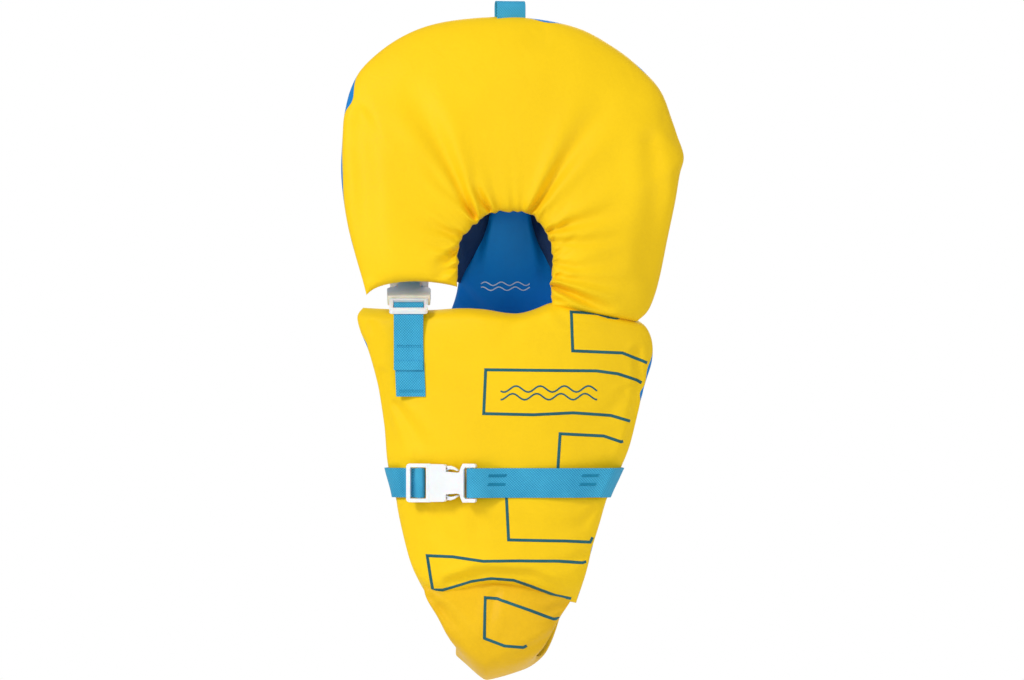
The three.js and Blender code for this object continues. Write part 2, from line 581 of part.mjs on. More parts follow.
// A line along the belt at one height: from the stitched end under the female half, round its bar, across the chest,
// round the back, and in under the male half. The sides hang free between the panels.
function beltLine(z) {
  const rise = z - BELT_Z;
  const rigid = (u, w) => inFrame(waistFrame, u, rise, w);
  const atU = (u) => WAIST_BUCKLE_X + u * waistAlong.x;
  const turn = BAR_TURN.map(([u, w]) => rigid(u, w));
  const [left, right] = [rimX(chest, z, -1), rimX(chest, z, 1)];
  const [backLeft, backRight] = [rimX(back, z, -1), rimX(back, z, 1)];
  // Round the seam of one panel, across to the other, and round its seam.
  const side = (from, to, chestX, backX) => {
    const out = Math.sign(chestX) * (LAYER_1 + 1);
    const chestY = chestMiddle(chestX);
    const backY = backMiddle(backX, z);
    return new THREE.CatmullRomCurve3([
      from, vec(chestX + out, chestY - 3, z), vec(chestX + 1.4 * out, chestY + 6, z),
      vec(backX + 1.4 * out, backY - 6, z), vec(backX + out, backY + 3, z), to,
    ], false, "centripetal").getPoints(15);
  };
  const chestRight = onChest(0.9 * right, z, LAYER_1);
  const backRightEnd = onBack(0.88 * backRight, z, LAYER_1);
  const backLeftEnd = onBack(0.88 * backLeft, z, LAYER_1);
  const chestLeft = onChest(0.9 * left, z, LAYER_1);
  return [
    onChest(atU(47), z, LAYER_1), onChest(atU(40), z, LAYER_1 + 0.1), rigid(34, 0.6),
    ...turn,
    rigid(35, 4.6), onChest(atU(41), z, LAYER_2 + 0.4), onChest(atU(50), z, LAYER_2),
    onChest(atU(57), z, LAYER_1 + 0.4),
    ...between(atU(64), chestRight.x, 7).map((x) => onChest(x, z, LAYER_1)),
    ...side(chestRight, backRightEnd, right, backRight).slice(1, -1),
    ...between(backRightEnd.x, backLeftEnd.x, 23).map((x) => onBack(x, z, LAYER_1)),
    ...side(chestLeft, backLeftEnd, left, backLeft).reverse().slice(1),
    onChest(lerp(chestLeft.x, atU(MALE_END), 0.5), z, LAYER_1), rigid(MALE_END - 2, 0.4),
    rigid(MALE_END + 6, 0.75), rigid(LADDER_BAR + 4, LAYER_1),
  ];
}

const waistBelt = () => ribbon(WEB_LINES.map((rise) => beltLine(BELT_Z + rise)));

// Webbing round a male half's ladder bar, after the points of leadIn(v), where v is the place across the webbing.
function fold(frame, leadIn = () => []) {
  return ribbon(STRAP_LINES.map((v) => [...leadIn(v), ...FOLD.map(([u, w]) => inFrame(frame, u, v, w))]));
}

// A loop sewn across the middle of the back, which the belt runs through.
function beltKeeper() {
  const rear = faceY(back, 1, 0, BELT_Z, 0);
  const half = WEB_WIDTH / 2;
  const run = [[half + 10, LAYER_1], [half + 3.5, LAYER_1], [half + 1, LAYER_2 + 0.2], [-half - 1, LAYER_2 + 0.2],
    [-half - 3.5, LAYER_1], [-half - 10, LAYER_1]];
  return ribbon(WEB_LINES.map((x) => run.map(([rise, height]) => vec(x, rear + height, BELT_Z + rise))));
}

// ---- Shoulder strap, which joins the free leg of the collar to the chest panel ----

const shoulderAlong = vec(0, Math.cos(SHOULDER_SLOPE), Math.sin(SHOULDER_SLOPE));
const shoulderOut = vec(0, -Math.sin(SHOULDER_SLOPE), Math.cos(SHOULDER_SLOPE));
// The buckle lies over the rounded top edge of the chest panel, and runs up behind the free leg of the collar.
const shoulderOrigin = vec(STRAP_X, chestMiddle(STRAP_X) + SHOULDER_BACK, PANEL_TOP + SHOULDER_UP);
const shoulderFrame = buckleFrame(shoulderOrigin, shoulderAlong, shoulderOut);
const acrossStrap = (v) => inFrame(shoulderFrame, 0, v, 0).x;

function shoulderStrapFront() {
  return ribbon(STRAP_LINES.map((v) => [
    ...between(STRAP_ANCHOR, 24, 7).map((below) => onChest(acrossStrap(v), PANEL_TOP - below, LAYER_1)),
    inFrame(shoulderFrame, MALE_END + 3, v, LAYER_1 - 0.5),
    inFrame(shoulderFrame, MALE_END + 8, v, LAYER_1),
    inFrame(shoulderFrame, LADDER_BAR + 4, v, LAYER_1),
  ]));
}

// The free end hangs down over the strap from the ladder bar.
function shoulderStrapTail() {
  return fold(shoulderFrame, (v) => [
    ...between(STRAP_TAIL, 24, 5).map((below) => onChest(acrossStrap(v), PANEL_TOP - below, LAYER_2)),
    inFrame(shoulderFrame, MALE_END + 1, v, LAYER_2 - 0.2),
  ]);
}

// From the rear face of the free leg, where it is sewn, down round the bar in the female half and back up.
function shoulderStrapRear() {
  const onLeg = (around, height) => collarPoint(around, 0.45, SEAM + collarHalf(around, 0.45) + height);
  const bar = inFrame(shoulderFrame, WEB_BAR, 0, BUCKLE_MIDDLE);
  const turn = [170, 210, 250, 290, 330, 10].map((degrees) => {
    const angle = THREE.MathUtils.degToRad(degrees);
    return vec(0, BAR_WRAP * Math.cos(angle), BAR_WRAP * Math.sin(angle)).add(bar);
  });
  const run = [
    onLeg(0.105, LAYER_1), onLeg(0.085, LAYER_1), onLeg(0.066, LAYER_1), ...turn,
    onLeg(0.066, LAYER_2 + 1), onLeg(0.085, LAYER_2),
  ];
  return ribbon(WEB_LINES.map((v) => run.map((p) => p.clone().setX(acrossStrap(v)))));
}

// ---- The jacket ----

const jacket = new THREE.Group();
const body = new THREE.Group(); // everything, in a frame whose y starts at the wearer's middle
body.position.y = -HANG_Y;
jacket.add(body);

function add(parent, name, geometry, finish) {
  const mesh = new THREE.Mesh(geometry, finish);
  mesh.name = name;
  parent.add(mesh);
}

add(body, "chest_cover", panelCover(chest, -1), yellowCloth);
add(body, "chest_lining", panelCover(chest, 1), blueCloth);
add(body, "chest_foam_outer", panelFoam(chest, -1), foam);
add(body, "chest_foam_inner", panelFoam(chest, 1), foam);
add(body, "back_cover", panelCover(back, 1), blueCloth);
add(body, "back_lining", panelCover(back, -1), blueCloth);
add(body, "back_foam_outer", panelFoam(back, 1), foam);
add(body, "back_foam_inner", panelFoam(back, -1), foam);

const foamFrom = FABRIC + GAP;
const liningFrom = foamFrom + CROTCH_FOAM + GAP;
add(body, "crotch_cover", crotchLayer(0, FABRIC), yellowCloth);
add(body, "crotch_foam", crotchLayer(foamFrom + CROTCH_FOAM, foamFrom), foam);
add(body, "crotch_lining", crotchLayer(liningFrom, liningFrom + FABRIC), yellowCloth);

add(body, "collar_cover_front", collarCover(-1), yellowCloth);
add(body, "collar_cover_back", collarCover(1), blueCloth);
add(body, "collar_foam_front", collarFoam(-1), foam);
add(body, "collar_foam_back", collarFoam(1), foam);
add(body, "neck_elastic", neckElastic(), elastic);
add(body, "neck_gusset_right", neckGusset(-1), navyCloth);
add(body, "neck_gusset_left", neckGusset(1), navyCloth);
add(body, "grab_loop", grabLoop(), webbing);

add(body, "waist_belt", waistBelt(), webbing);
add(body, "belt_keeper", beltKeeper(), webbing);
add(body, "waist_belt_fold", fold(waistFrame), webbing);
add(body, "shoulder_strap_front", shoulderStrapFront(), webbing);
add(body, "shoulder_strap_tail", shoulderStrapTail(), webbing);
add(body, "shoulder_strap_rear", shoulderStrapRear(), webbing);

for (const [place, frame, plastic, prongs] of [
  ["waist", waistFrame, whitePlastic, ["upper", "lower"]],
  ["shoulder", shoulderFrame, creamPlastic, ["right", "left"]],
]) {
  const buckle = new THREE.Group();
  frame.decompose(buckle.position, buckle.quaternion, buckle.scale);
  body.add(buckle);
  add(buckle, `${place}_buckle_female`, femaleHalf(), plastic);
  add(buckle, `${place}_buckle_male`, maleHalf(), whitePlastic);
  add(buckle, `${place}_prong_${prongs[0]}`, prong(1), whitePlastic);
  add(buckle, `${place}_prong_${prongs[1]}`, prong(-1), whitePlastic);
}

export default jacket;
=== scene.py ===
# An infant's life jacket, hanging by its grab loop: a puffy yellow chest panel that folds through the crotch
# to a blue back panel, a gathered head-support collar, and webbing closed by side-release buckles. Pieces are
# laid out in millimetres and made in metres, with +Z up and the front towards -Y.
import math
import bpy
import bmesh
import numpy as np
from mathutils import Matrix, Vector


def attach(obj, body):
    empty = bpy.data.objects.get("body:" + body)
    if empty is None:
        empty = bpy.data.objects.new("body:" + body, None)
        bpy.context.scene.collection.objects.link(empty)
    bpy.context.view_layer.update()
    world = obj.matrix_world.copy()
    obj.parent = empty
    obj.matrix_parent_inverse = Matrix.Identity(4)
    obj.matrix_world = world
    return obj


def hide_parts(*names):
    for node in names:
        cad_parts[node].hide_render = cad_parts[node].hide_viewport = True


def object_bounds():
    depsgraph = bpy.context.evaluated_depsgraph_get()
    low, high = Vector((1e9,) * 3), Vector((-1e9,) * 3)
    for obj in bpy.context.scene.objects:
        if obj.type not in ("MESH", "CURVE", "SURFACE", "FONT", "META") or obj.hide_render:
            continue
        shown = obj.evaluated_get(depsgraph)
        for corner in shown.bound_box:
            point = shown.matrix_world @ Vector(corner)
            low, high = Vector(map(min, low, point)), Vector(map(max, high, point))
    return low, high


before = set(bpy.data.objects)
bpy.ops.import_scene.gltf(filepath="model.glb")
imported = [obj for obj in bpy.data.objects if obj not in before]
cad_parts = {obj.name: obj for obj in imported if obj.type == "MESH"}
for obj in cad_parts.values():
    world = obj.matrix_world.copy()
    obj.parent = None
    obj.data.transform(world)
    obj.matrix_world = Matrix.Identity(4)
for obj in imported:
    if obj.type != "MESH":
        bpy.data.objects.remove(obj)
cad_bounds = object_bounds()

# ---- Camera, light and floor ----
# A long lens looks level at the middle of the jacket. The floor lies below the hanging jacket, and big soft
# lamps stand to both sides, low in front and behind.

MM = 0.001
low, high = (np.array(corner) for corner in cad_bounds)
VIEW_WIDTH = 0.8704
CAMERA_DISTANCE = 7.0
camera_data = bpy.data.cameras.new("camera")
camera_data.lens = camera_data.sensor_width * (CAMERA_DISTANCE - 0.05) / VIEW_WIDTH
camera = bpy.data.objects.new("camera", camera_data)
camera.location = (1.7 * MM, -CAMERA_DISTANCE, -289 * MM)
camera.rotation_euler = (math.pi / 2, 0, 0)
bpy.context.scene.collection.objects.link(camera)
bpy.context.scene.camera = camera

world = bpy.data.worlds.new("studio")
world.use_nodes = True
studio = world.node_tree
white = studio.nodes["Background"]
white.inputs["Color"].default_value = (1, 1, 1, 1)
white.inputs["Strength"].default_value = 1.0
soft_light = studio.nodes.new("ShaderNodeBackground")
soft_light.inputs["Color"].default_value = (1, 1, 1, 1)
soft_light.inputs["Strength"].default_value = 0.5
seen = studio.nodes.new("ShaderNodeLightPath")
either = studio.nodes.new("ShaderNodeMixShader")
studio.links.new(seen.outputs["Is Camera Ray"], either.inputs[0])
studio.links.new(soft_light.outputs[0], either.inputs[1])
studio.links.new(white.outputs[0], either.inputs[2])
studio.links.new(either.outputs[0], studio.nodes["World Output"].inputs["Surface"])
bpy.context.scene.world = world
bpy.context.scene.view_settings.view_transform = "Standard"


def lamp(name, place, size, power):
    """A square soft lamp that faces the middle of the jacket."""
    data = bpy.data.lights.new(name, "AREA")
    data.size = size
    data.energy = power
    made = bpy.data.objects.new(name, data)
    made.location = place
    made.rotation_euler = (Vector((0, 0, -0.29)) - Vector(place)).to_track_quat("-Z", "Y").to_euler()
    bpy.context.scene.collection.objects.link(made)


lamp("key", (-1.5, -1.5, 1.0), 0.6, 29)
lamp("fill", (1.6, -1.7, 0.1), 1.2, 10)
lamp("front", (-0.4, -2.4, -0.5), 0.8, 5)
lamp("rear", (0.5, 2.0, 0.8), 1.2, 26)

floor_mesh = bpy.data.meshes.new("floor")
turn = np.linspace(0, 2 * math.pi, 97)[:-1]
floor_ring = np.stack([1.2 * np.cos(turn), 1.2 * np.sin(turn), np.full(96, float(low[2]) - 0.17)], 1)
floor_mesh.from_pydata(floor_ring.tolist(), [], [list(range(96))])
floor = bpy.data.objects.new("floor", floor_mesh)
bpy.context.scene.collection.objects.link(floor)
floor_paint = bpy.data.materials.new("pale floor")
floor_paint.use_nodes = True
floor_paint.node_tree.nodes["Principled BSDF"].inputs["Base Color"].default_value = (0.86, 0.86, 0.86, 1)
floor_paint.node_tree.nodes["Principled BSDF"].inputs["Roughness"].default_value = 0.9
floor_mesh.materials.append(floor_paint)


# ---- Collar ----
# A horseshoe cushion of foam sheets in a nylon cover, yellow in front and blue behind, sewn round its edge. Elastic
# in the neck edge gathers the cloth, so folds run out from it like rays.

def smooth_line(points, shares, closed=False):
    """The places at the given shares of the length of a centripetal Catmull-Rom curve through the points."""
    knots = np.array(points, float)
    if closed:
        ends = np.vstack([knots[-1:], knots, knots[:2]])
    else:
        ends = np.vstack([2 * knots[0] - knots[1], knots, 2 * knots[-1] - knots[-2]])
    t = np.linspace(0, 1, 25)[:-1, None]
    stretches = []
    for p0, p1, p2, p3 in zip(ends, ends[1:], ends[2:], ends[3:]):
        t1 = np.linalg.norm(p1 - p0) ** 0.5
        t2 = t1 + np.linalg.norm(p2 - p1) ** 0.5
        t3 = t2 + np.linalg.norm(p3 - p2) ** 0.5
        s = t1 + (t2 - t1) * t
        a1 = ((t1 - s) * p0 + s * p1) / t1
        a2 = ((t2 - s) * p1 + (s - t1) * p2) / (t2 - t1)
        a3 = ((t3 - s) * p2 + (s - t2) * p3) / (t3 - t2)
        b1 = ((t2 - s) * a1 + s * a2) / t2
        b2 = ((t3 - s) * a2 + (s - t1) * a3) / (t3 - t1)
        stretches.append(((t2 - s) * b1 + (s - t1) * b2) / (t2 - t1))
    curve = np.vstack([*stretches, ends[-2:-1]])
    along = np.concatenate([[0], np.cumsum(np.linalg.norm(np.diff(curve, axis=0), axis=1))])
    wanted = np.asarray(shares) * along[-1]
    return np.stack([np.interp(wanted, along, curve[:, k]) for k in range(curve.shape[1])], 1)


def smoothstep(t):
    t = np.clip(t, 0, 1)
    return t * t * (3 - 2 * t)


def shares_to_ends(count, crowding=0.3):
    """Shares from 0 to 1 that lie closer together near both ends, by blending even steps with a cosine's."""
    even = np.linspace(0, 1, count)
    return (1 - crowding) * even + crowding * (0.5 - 0.5 * np.cos(math.pi * even))


def sewn_section(columns, first_lean, last_lean, plump):
    """Sections of a cushion, front and rear, row by row: the share across, (1 - cos a) / 2, and how far out each
    point is as a share of half the thickness, sin(a) to the power plump. The angle a starts a lean before the edge,
    so that a positive lean puts the seam behind the edge and a negative one in front of it."""
    step = np.linspace(0, 1, columns)
    first, last = first_lean[:, None], last_lean[:, None]
    sections = []
    for angle in (-first + step * (math.pi + last + first), -first - step * (math.pi - last - first)):
        sections.append(((1 - np.cos(angle)) / 2, np.sign(np.sin(angle)) * np.abs(np.sin(angle)) ** plump))
    return sections


def pillow(name, front, rear, finish, levels=0):
    """A closed mesh from two grids of points, in millimetres, that share their rim. Its UV map is the length along
    and across the cloth, in metres."""
    rows, columns = front.shape[:2]
    front_index = np.arange(rows * columns).reshape(rows, columns)
    rear_index = front_index.copy()
    inner = np.zeros((rows, columns), bool)
    inner[1:-1, 1:-1] = True
    rear_index[inner] = rows * columns + np.arange(inner.sum())
    points = np.vstack([front.reshape(-1, 3), rear[inner]]) * MM

    def quads(index):
        return np.stack([index[:-1, :-1], index[:-1, 1:], index[1:, 1:], index[1:, :-1]], 2).reshape(-1, 4)

    faces = np.vstack([quads(front_index), quads(rear_index)[:, ::-1]])
    a, b, c, d = (points[faces[:, k]] for k in range(4))
    if np.einsum("ij,ij->i", a + b + c + d, np.cross(c - a, d - b)).sum() < 0:
        faces = faces[:, ::-1]
    mesh = bpy.data.meshes.new(name)
    mesh.from_pydata(points.tolist(), [], faces.tolist())
    along = np.concatenate([[0], np.cumsum(np.linalg.norm(np.diff(front[:, columns // 2], axis=0), axis=1))])
    steps = np.linalg.norm(np.diff(front, axis=1), axis=2)
    across = np.concatenate([np.zeros((rows, 1)), np.cumsum(steps, axis=1)], 1)
    place = np.stack([np.broadcast_to(along[:, None], (rows, columns)), across], 2).reshape(-1, 2) * MM
    place = np.vstack([place, place.reshape(rows, columns, 2)[inner]])
    corner = np.empty(len(mesh.loops), int)
    mesh.loops.foreach_get("vertex_index", corner)
    mesh.uv_layers.new(name="cloth").data.foreach_set("uv", place[corner].ravel())
    mesh.polygons.foreach_set("use_smooth", np.ones(len(mesh.polygons), bool))
    mesh.materials.append(finish)
    made = bpy.data.objects.new(name, mesh)
    bpy.context.scene.collection.objects.link(made)
    if levels:
        finer = made.modifiers.new("Subdivision", "SUBSURF")
        finer.levels = finer.render_levels = levels
    return made


def puff(front, rear, pressure=4.0, most=6.0, frames=14, spare=0.06, slack=None):
    """The same two grids after a cloth simulation of the sewn cover over its filling: the seams are held, the
    pressure swells the cloth, which has a spare share of length where it is slack, and no point moves more than
    most, in millimetres."""
    rows, columns = front.shape[:2]
    made = pillow("simulated cover", front, rear, None)
    count = len(made.data.vertices)
    inner = np.zeros((rows, columns), bool)
    inner[1:-1, 1:-1] = True
    held = np.zeros(count)
    held[: rows * columns] = ~inner.ravel()
    loose = np.ones((rows, columns)) if slack is None else slack
    loose = np.round(np.concatenate([loose.ravel(), loose[inner]]), 1)
    for group_name, weights in (("held", held), ("slack", loose)):
        group = made.vertex_groups.new(name=group_name)
        for value in np.unique(weights[weights > 0]):
            group.add(np.flatnonzero(weights == value).tolist(), float(value), "REPLACE")
    cloth = made.modifiers.new("Cloth", "CLOTH")
    settings = cloth.settings
    settings.quality = 5
    settings.mass = 0.15
    settings.tension_stiffness = settings.compression_stiffness = 20
    settings.shear_stiffness = 8
    settings.bending_stiffness = 0.1
    settings.air_damping = 2
    settings.use_pressure = True
    settings.uniform_pressure_force = pressure
    settings.vertex_group_mass = "held"
    settings.vertex_group_shrink = "slack"
    settings.shrink_min = 0.0
    settings.shrink_max = -spare
    settings.effector_weights.gravity = 0
    cloth.collision_settings.use_collision = False
    cloth.point_cache.frame_start = 1
    cloth.point_cache.frame_end = frames
    for number in range(1, frames + 1):
        bpy.context.scene.frame_set(number)
    points = np.empty(count * 3)
    shown = made.evaluated_get(bpy.context.evaluated_depsgraph_get())
    shown.data.vertices.foreach_get("co", points)
    points = points.reshape(-1, 3) / MM
    bpy.data.objects.remove(made)
    bpy.context.scene.frame_set(1)
    start = np.vstack([front.reshape(-1, 3), rear[inner]])
    moved = points - start
    reach = np.linalg.norm(moved, axis=1, keepdims=True)
    points = start + moved * np.minimum(1, most / np.maximum(reach, 1e-9))
    new_front = points[: rows * columns].reshape(rows, columns, 3)
    new_rear = new_front.copy()
    new_rear[inner] = points[rows * columns :]
    return new_front, new_rear


def crease(x, z, line, depth, narrow, wide, fade=1.0):
    """How far in the cloth is pressed at each place by one soft fold. Across the line it is (1 - r r) exp(-r r / 2)
    at r widths from it, a valley between two low ridges, and the width grows from narrow to wide along it while the
    depth fades."""
    line = np.array(line, float)
    steps = np.linalg.norm(np.diff(line, axis=0), axis=1)
    starts = np.concatenate([[0], np.cumsum(steps)])
    nearest = np.full(x.shape, 1e9)
    share = np.zeros(x.shape)
    for (ax, az), (bx, bz), length, start in zip(line, line[1:], steps, starts):
        t = np.clip(((x - ax) * (bx - ax) + (z - az) * (bz - az)) / length ** 2, 0, 1)
        away = np.hypot(x - ax - t * (bx - ax), z - az - t * (bz - az))
        closer = away < nearest
        nearest = np.where(closer, away, nearest)
        share = np.where(closer, (start + t * length) / starts[-1], share)
    r = nearest / (narrow + (wide - narrow) * share)
    return depth * (1 - share) ** fade * (1 - r * r) * np.exp(-r * r / 2)


def held_edges(rows, columns, steepness, end_rows):
    """Shares that fall smoothly to nothing at the seams, across and along a grid, where cloth is sewn down."""
    across = np.minimum(np.linspace(0, 1, columns), np.linspace(1, 0, columns)) * steepness
    along = np.minimum(np.arange(rows), np.arange(rows)[::-1]) / end_rows
    return smoothstep(across), smoothstep(along)


def rumple(x, z, pitch, seed):
    """A smooth uneven surface between about -1 and 1: waves in six seeded directions, with pitches near the given
    one, added together."""
    random = np.random.default_rng(seed)
    total = np.zeros(x.shape)
    angles, phases, scales = (random.uniform(*limits, 6) for limits in ((0, math.pi), (0, 2 * math.pi), (0.7, 1.5)))
    for angle, phase, scale in zip(angles, phases, scales):
        total += np.sin(2 * math.pi * (x * math.cos(angle) + z * math.sin(angle)) / (pitch * scale) + phase)
    return total / 3.2


def peek(edge, places, base):
    """The lean of a seam along an edge, in radians: behind it by base degrees, and turned to the front near the
    places, each an x, a z, half the length that shows and the most it turns, in degrees."""
    lean = np.full(len(edge), math.radians(base))
    for px, pz, reach, most in places:
        away = np.hypot(edge[:, 0] - px, edge[:, 1] - pz)
        lean = np.minimum(lean, math.radians(base) - math.radians(base + most) * np.exp(-((away / reach) ** 2)))
    return lean


# Shader groups: the weave of a cloth, and the uneven tone that handling gives it.

def shader_group(name, inputs, outputs):
    """An empty shader group, with its sockets given as [name, kind, first value]."""
    group = bpy.data.node_groups.new(name, "ShaderNodeTree")
    for socket, kind, value in inputs:
        made = group.interface.new_socket(name=socket, in_out="INPUT", socket_type=kind)
        if value is not None:
            made.default_value = value
    for socket, kind in outputs:
        group.interface.new_socket(name=socket, in_out="OUTPUT", socket_type=kind)
    return group, group.nodes.new("NodeGroupInput"), group.nodes.new("NodeGroupOutput")


def wire(tree, kind, links=(), **values):
    """A new node with its plain properties set, and its inputs linked or filled by [input, socket or value]."""
    node = tree.nodes.new(kind)
    for key, value in values.items():
        setattr(node, key, value)
    for key, source in links:
        if isinstance(source, bpy.types.NodeSocket):
            tree.links.new(source, node.inputs[key])
        else:
            node.inputs[key].default_value = source
    return node


def weave_group():
    """Threads over and under: the product of two sines of the place on the cloth, in threads of the given pitch."""
    group, entry, leave = shader_group(
        "weave",
        [("Cloth", "NodeSocketVector", None), ("Warp Pitch", "NodeSocketFloat", 0.0006),
         ("Weft Pitch", "NodeSocketFloat", 0.0006)],
        [("Height", "NodeSocketFloat")],
    )
    split = wire(group, "ShaderNodeSeparateXYZ", [(0, entry.outputs["Cloth"])])
    waves = []
    for axis, pitch in (("X", "Warp Pitch"), ("Y", "Weft Pitch")):
        threads = wire(
            group, "ShaderNodeMath", [(0, split.outputs[axis]), (1, entry.outputs[pitch])], operation="DIVIDE")
        angle = wire(group, "ShaderNodeMath", [(0, threads.outputs[0]), (1, math.pi)], operation="MULTIPLY")
        waves.append(wire(group, "ShaderNodeMath", [(0, angle.outputs[0])], operation="SINE"))
    both = wire(
        group, "ShaderNodeMath", [(0, waves[0].outputs[0]), (1, waves[1].outputs[0])], operation="MULTIPLY")
    height = wire(group, "ShaderNodeMath", [(0, both.outputs[0]), (1, 0.5), (2, 0.5)], operation="MULTIPLY_ADD")
    group.links.new(height.outputs[0], leave.inputs["Height"])
    return group


def tone_group():
    """Slow and quick noise together, from 0 to 1: the uneven tone and gloss of a handled surface."""
    group, entry, leave = shader_group(
        "tone",
        [("Place", "NodeSocketVector", None), ("Patches", "NodeSocketFloat", 12.0),
         ("Grain", "NodeSocketFloat", 400.0)],
        [("Tone", "NodeSocketFloat"), ("Grain", "NodeSocketFloat")],
    )
    spot = entry.outputs["Place"]
    slow = wire(
        group, "ShaderNodeTexNoise", [("Vector", spot), ("Scale", entry.outputs["Patches"]), ("Detail", 3.0)])
    fine = wire(
        group, "ShaderNodeTexNoise", [("Vector", spot), ("Scale", entry.outputs["Grain"]), ("Detail", 2.0)])
    mixed = wire(
        group, "ShaderNodeMath", [(0, fine.outputs["Fac"]), (1, 0.25), (2, slow.outputs["Fac"])],
        operation="MULTIPLY_ADD")
    tone = wire(
        group, "ShaderNodeMapRange", [("Value", mixed.outputs[0]), ("From Min", 0.4), ("From Max", 0.85)])
    group.links.new(tone.outputs["Result"], leave.inputs["Tone"])
    group.links.new(fine.outputs["Fac"], leave.inputs["Grain"])
    return group


WEAVE = weave_group()
TONE = tone_group()


def woven_material(name, dark, light, warp, weft, rough, lift, patches=10.0, puckers=0.0, depth=0.0):
    """A woven cloth: two colours are mixed by the tone and, by the share depth, by the height of the weave, which
    also lifts the threads. The weave's share paints shade in the hollows between threads and light on their tops.
    Puckers are small soft waves of the cloth itself. Pitches and heights are in metres."""
    made = bpy.data.materials.new(name)
    made.use_nodes = True
    tree = made.node_tree
    shader = tree.nodes["Principled BSDF"]
    place = wire(tree, "ShaderNodeTexCoord")
    cloth = wire(tree, "ShaderNodeUVMap", uv_map="cloth")
    weave = wire(tree, "ShaderNodeGroup", node_tree=WEAVE)
    tree.links.new(cloth.outputs["UV"], weave.inputs["Cloth"])
    weave.inputs["Warp Pitch"].default_value = warp
    weave.inputs["Weft Pitch"].default_value = weft
    tone = wire(tree, "ShaderNodeGroup", node_tree=TONE)
    tree.links.new(place.outputs["Object"], tone.inputs["Place"])
    tone.inputs["Patches"].default_value = patches
    share = wire(
        tree, "ShaderNodeMix", [("Factor", depth), ("A", tone.outputs["Tone"]), ("B", weave.outputs["Height"])])
    colour = wire(
        tree, "ShaderNodeMix", [("Factor", share.outputs["Result"]), ("A", (*dark, 1)), ("B", (*light, 1))],
        data_type="RGBA")
    tree.links.new(colour.outputs["Result"], shader.inputs["Base Color"])
    gloss = wire(
        tree, "ShaderNodeMapRange",
        [("Value", tone.outputs["Grain"]), ("To Min", rough - 0.07), ("To Max", rough + 0.09)])
    tree.links.new(gloss.outputs["Result"], shader.inputs["Roughness"])
    waves = wire(
        tree, "ShaderNodeTexNoise",
        [("Vector", place.outputs["Object"]), ("Scale", 55.0), ("Detail", 2.0), ("Distortion", 0.6)])
    soft = wire(
        tree, "ShaderNodeBump", [("Height", waves.outputs["Fac"]), ("Strength", 1.0), ("Distance", puckers)])
    threads = wire(
        tree, "ShaderNodeBump",
        [("Height", weave.outputs["Height"]), ("Strength", 1.0), ("Distance", lift),
         ("Normal", soft.outputs["Normal"])])
    tree.links.new(threads.outputs["Normal"], shader.inputs["Normal"])
    shader.inputs["Sheen Weight"].default_value = 0.04
    shader.inputs["Sheen Roughness"].default_value = 0.4
    shader.inputs["Specular IOR Level"].default_value = 0.22
    return made


yellow_nylon = woven_material(
    "yellow nylon", (0.88, 0.56, 0.001), (0.96, 0.63, 0.002), 0.0005, 0.0005, 0.6, 0.00002, 7.0, 0.0005)
blue_nylon = woven_material(
    "blue nylon", (0.0, 0.19, 0.56), (0.0, 0.24, 0.66), 0.0005, 0.0005, 0.55, 0.00002, 9.0, 0.0005)


def dress(made, body, slot, *nodes, fill=None):
    """Attaches one piece to its body and hides the CAD nodes it stands for. The slot and fill arguments are not used.
    """
    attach(made, body)
    if nodes:
        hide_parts(*nodes)
    return made


def cushion_halves(name, front, rear, finishes, levels=1):
    """A cushion's front and rear halves as two closed pieces, which meet in the sheet half-way between them."""
    sheet = (front + rear) / 2
    made_front = pillow(f"{name}_front", front, sheet, finishes[0], levels)
    made_rear = pillow(f"{name}_rear", sheet, rear, finishes[1], levels)
    return made_front, made_rear


COLLAR_ROWS, COLLAR_COLUMNS = 150, 40
collar_shares = shares_to_ends(COLLAR_ROWS, 0.35)
collar_outer = smooth_line([
    (-121.5, -250), (-125.5, -236), (-131, -218), (-137, -196), (-142, -168), (-144, -145), (-143, -118),
    (-141, -93), (-131, -63), (-110, -41), (-85, -25.5), (-59, -17), (-8, -12), (26, -14.5), (60, -22.5),
    (85, -36), (110, -55),
    (129, -76.5), (137, -98), (142.5, -115), (148.5, -133.5), (145, -146), (141, -170), (134, -204), (128, -234),
    (123, -252), (117, -265), (107, -274),
], collar_shares)
collar_inner = smooth_line([
    (-45, -240.5), (-44, -226), (-44, -213), (-41, -203), (-30, -191), (-17, -181.5), (0, -180), (17, -182),
    (29.5, -196), (35, -210), (36, -226), (34.5, -242), (36, -262),
], collar_shares)


def collar_middle(x, z):
    """y of the collar's middle: it leans back by 15 degrees, and its sewn leg curves round the chest."""
    curve = np.where(x > 0, 0.002 * smoothstep((-151.5 - z) / 100), 0)
    return -67.8 + (z + 265.5) * math.tan(math.radians(15)) + curve * x * x


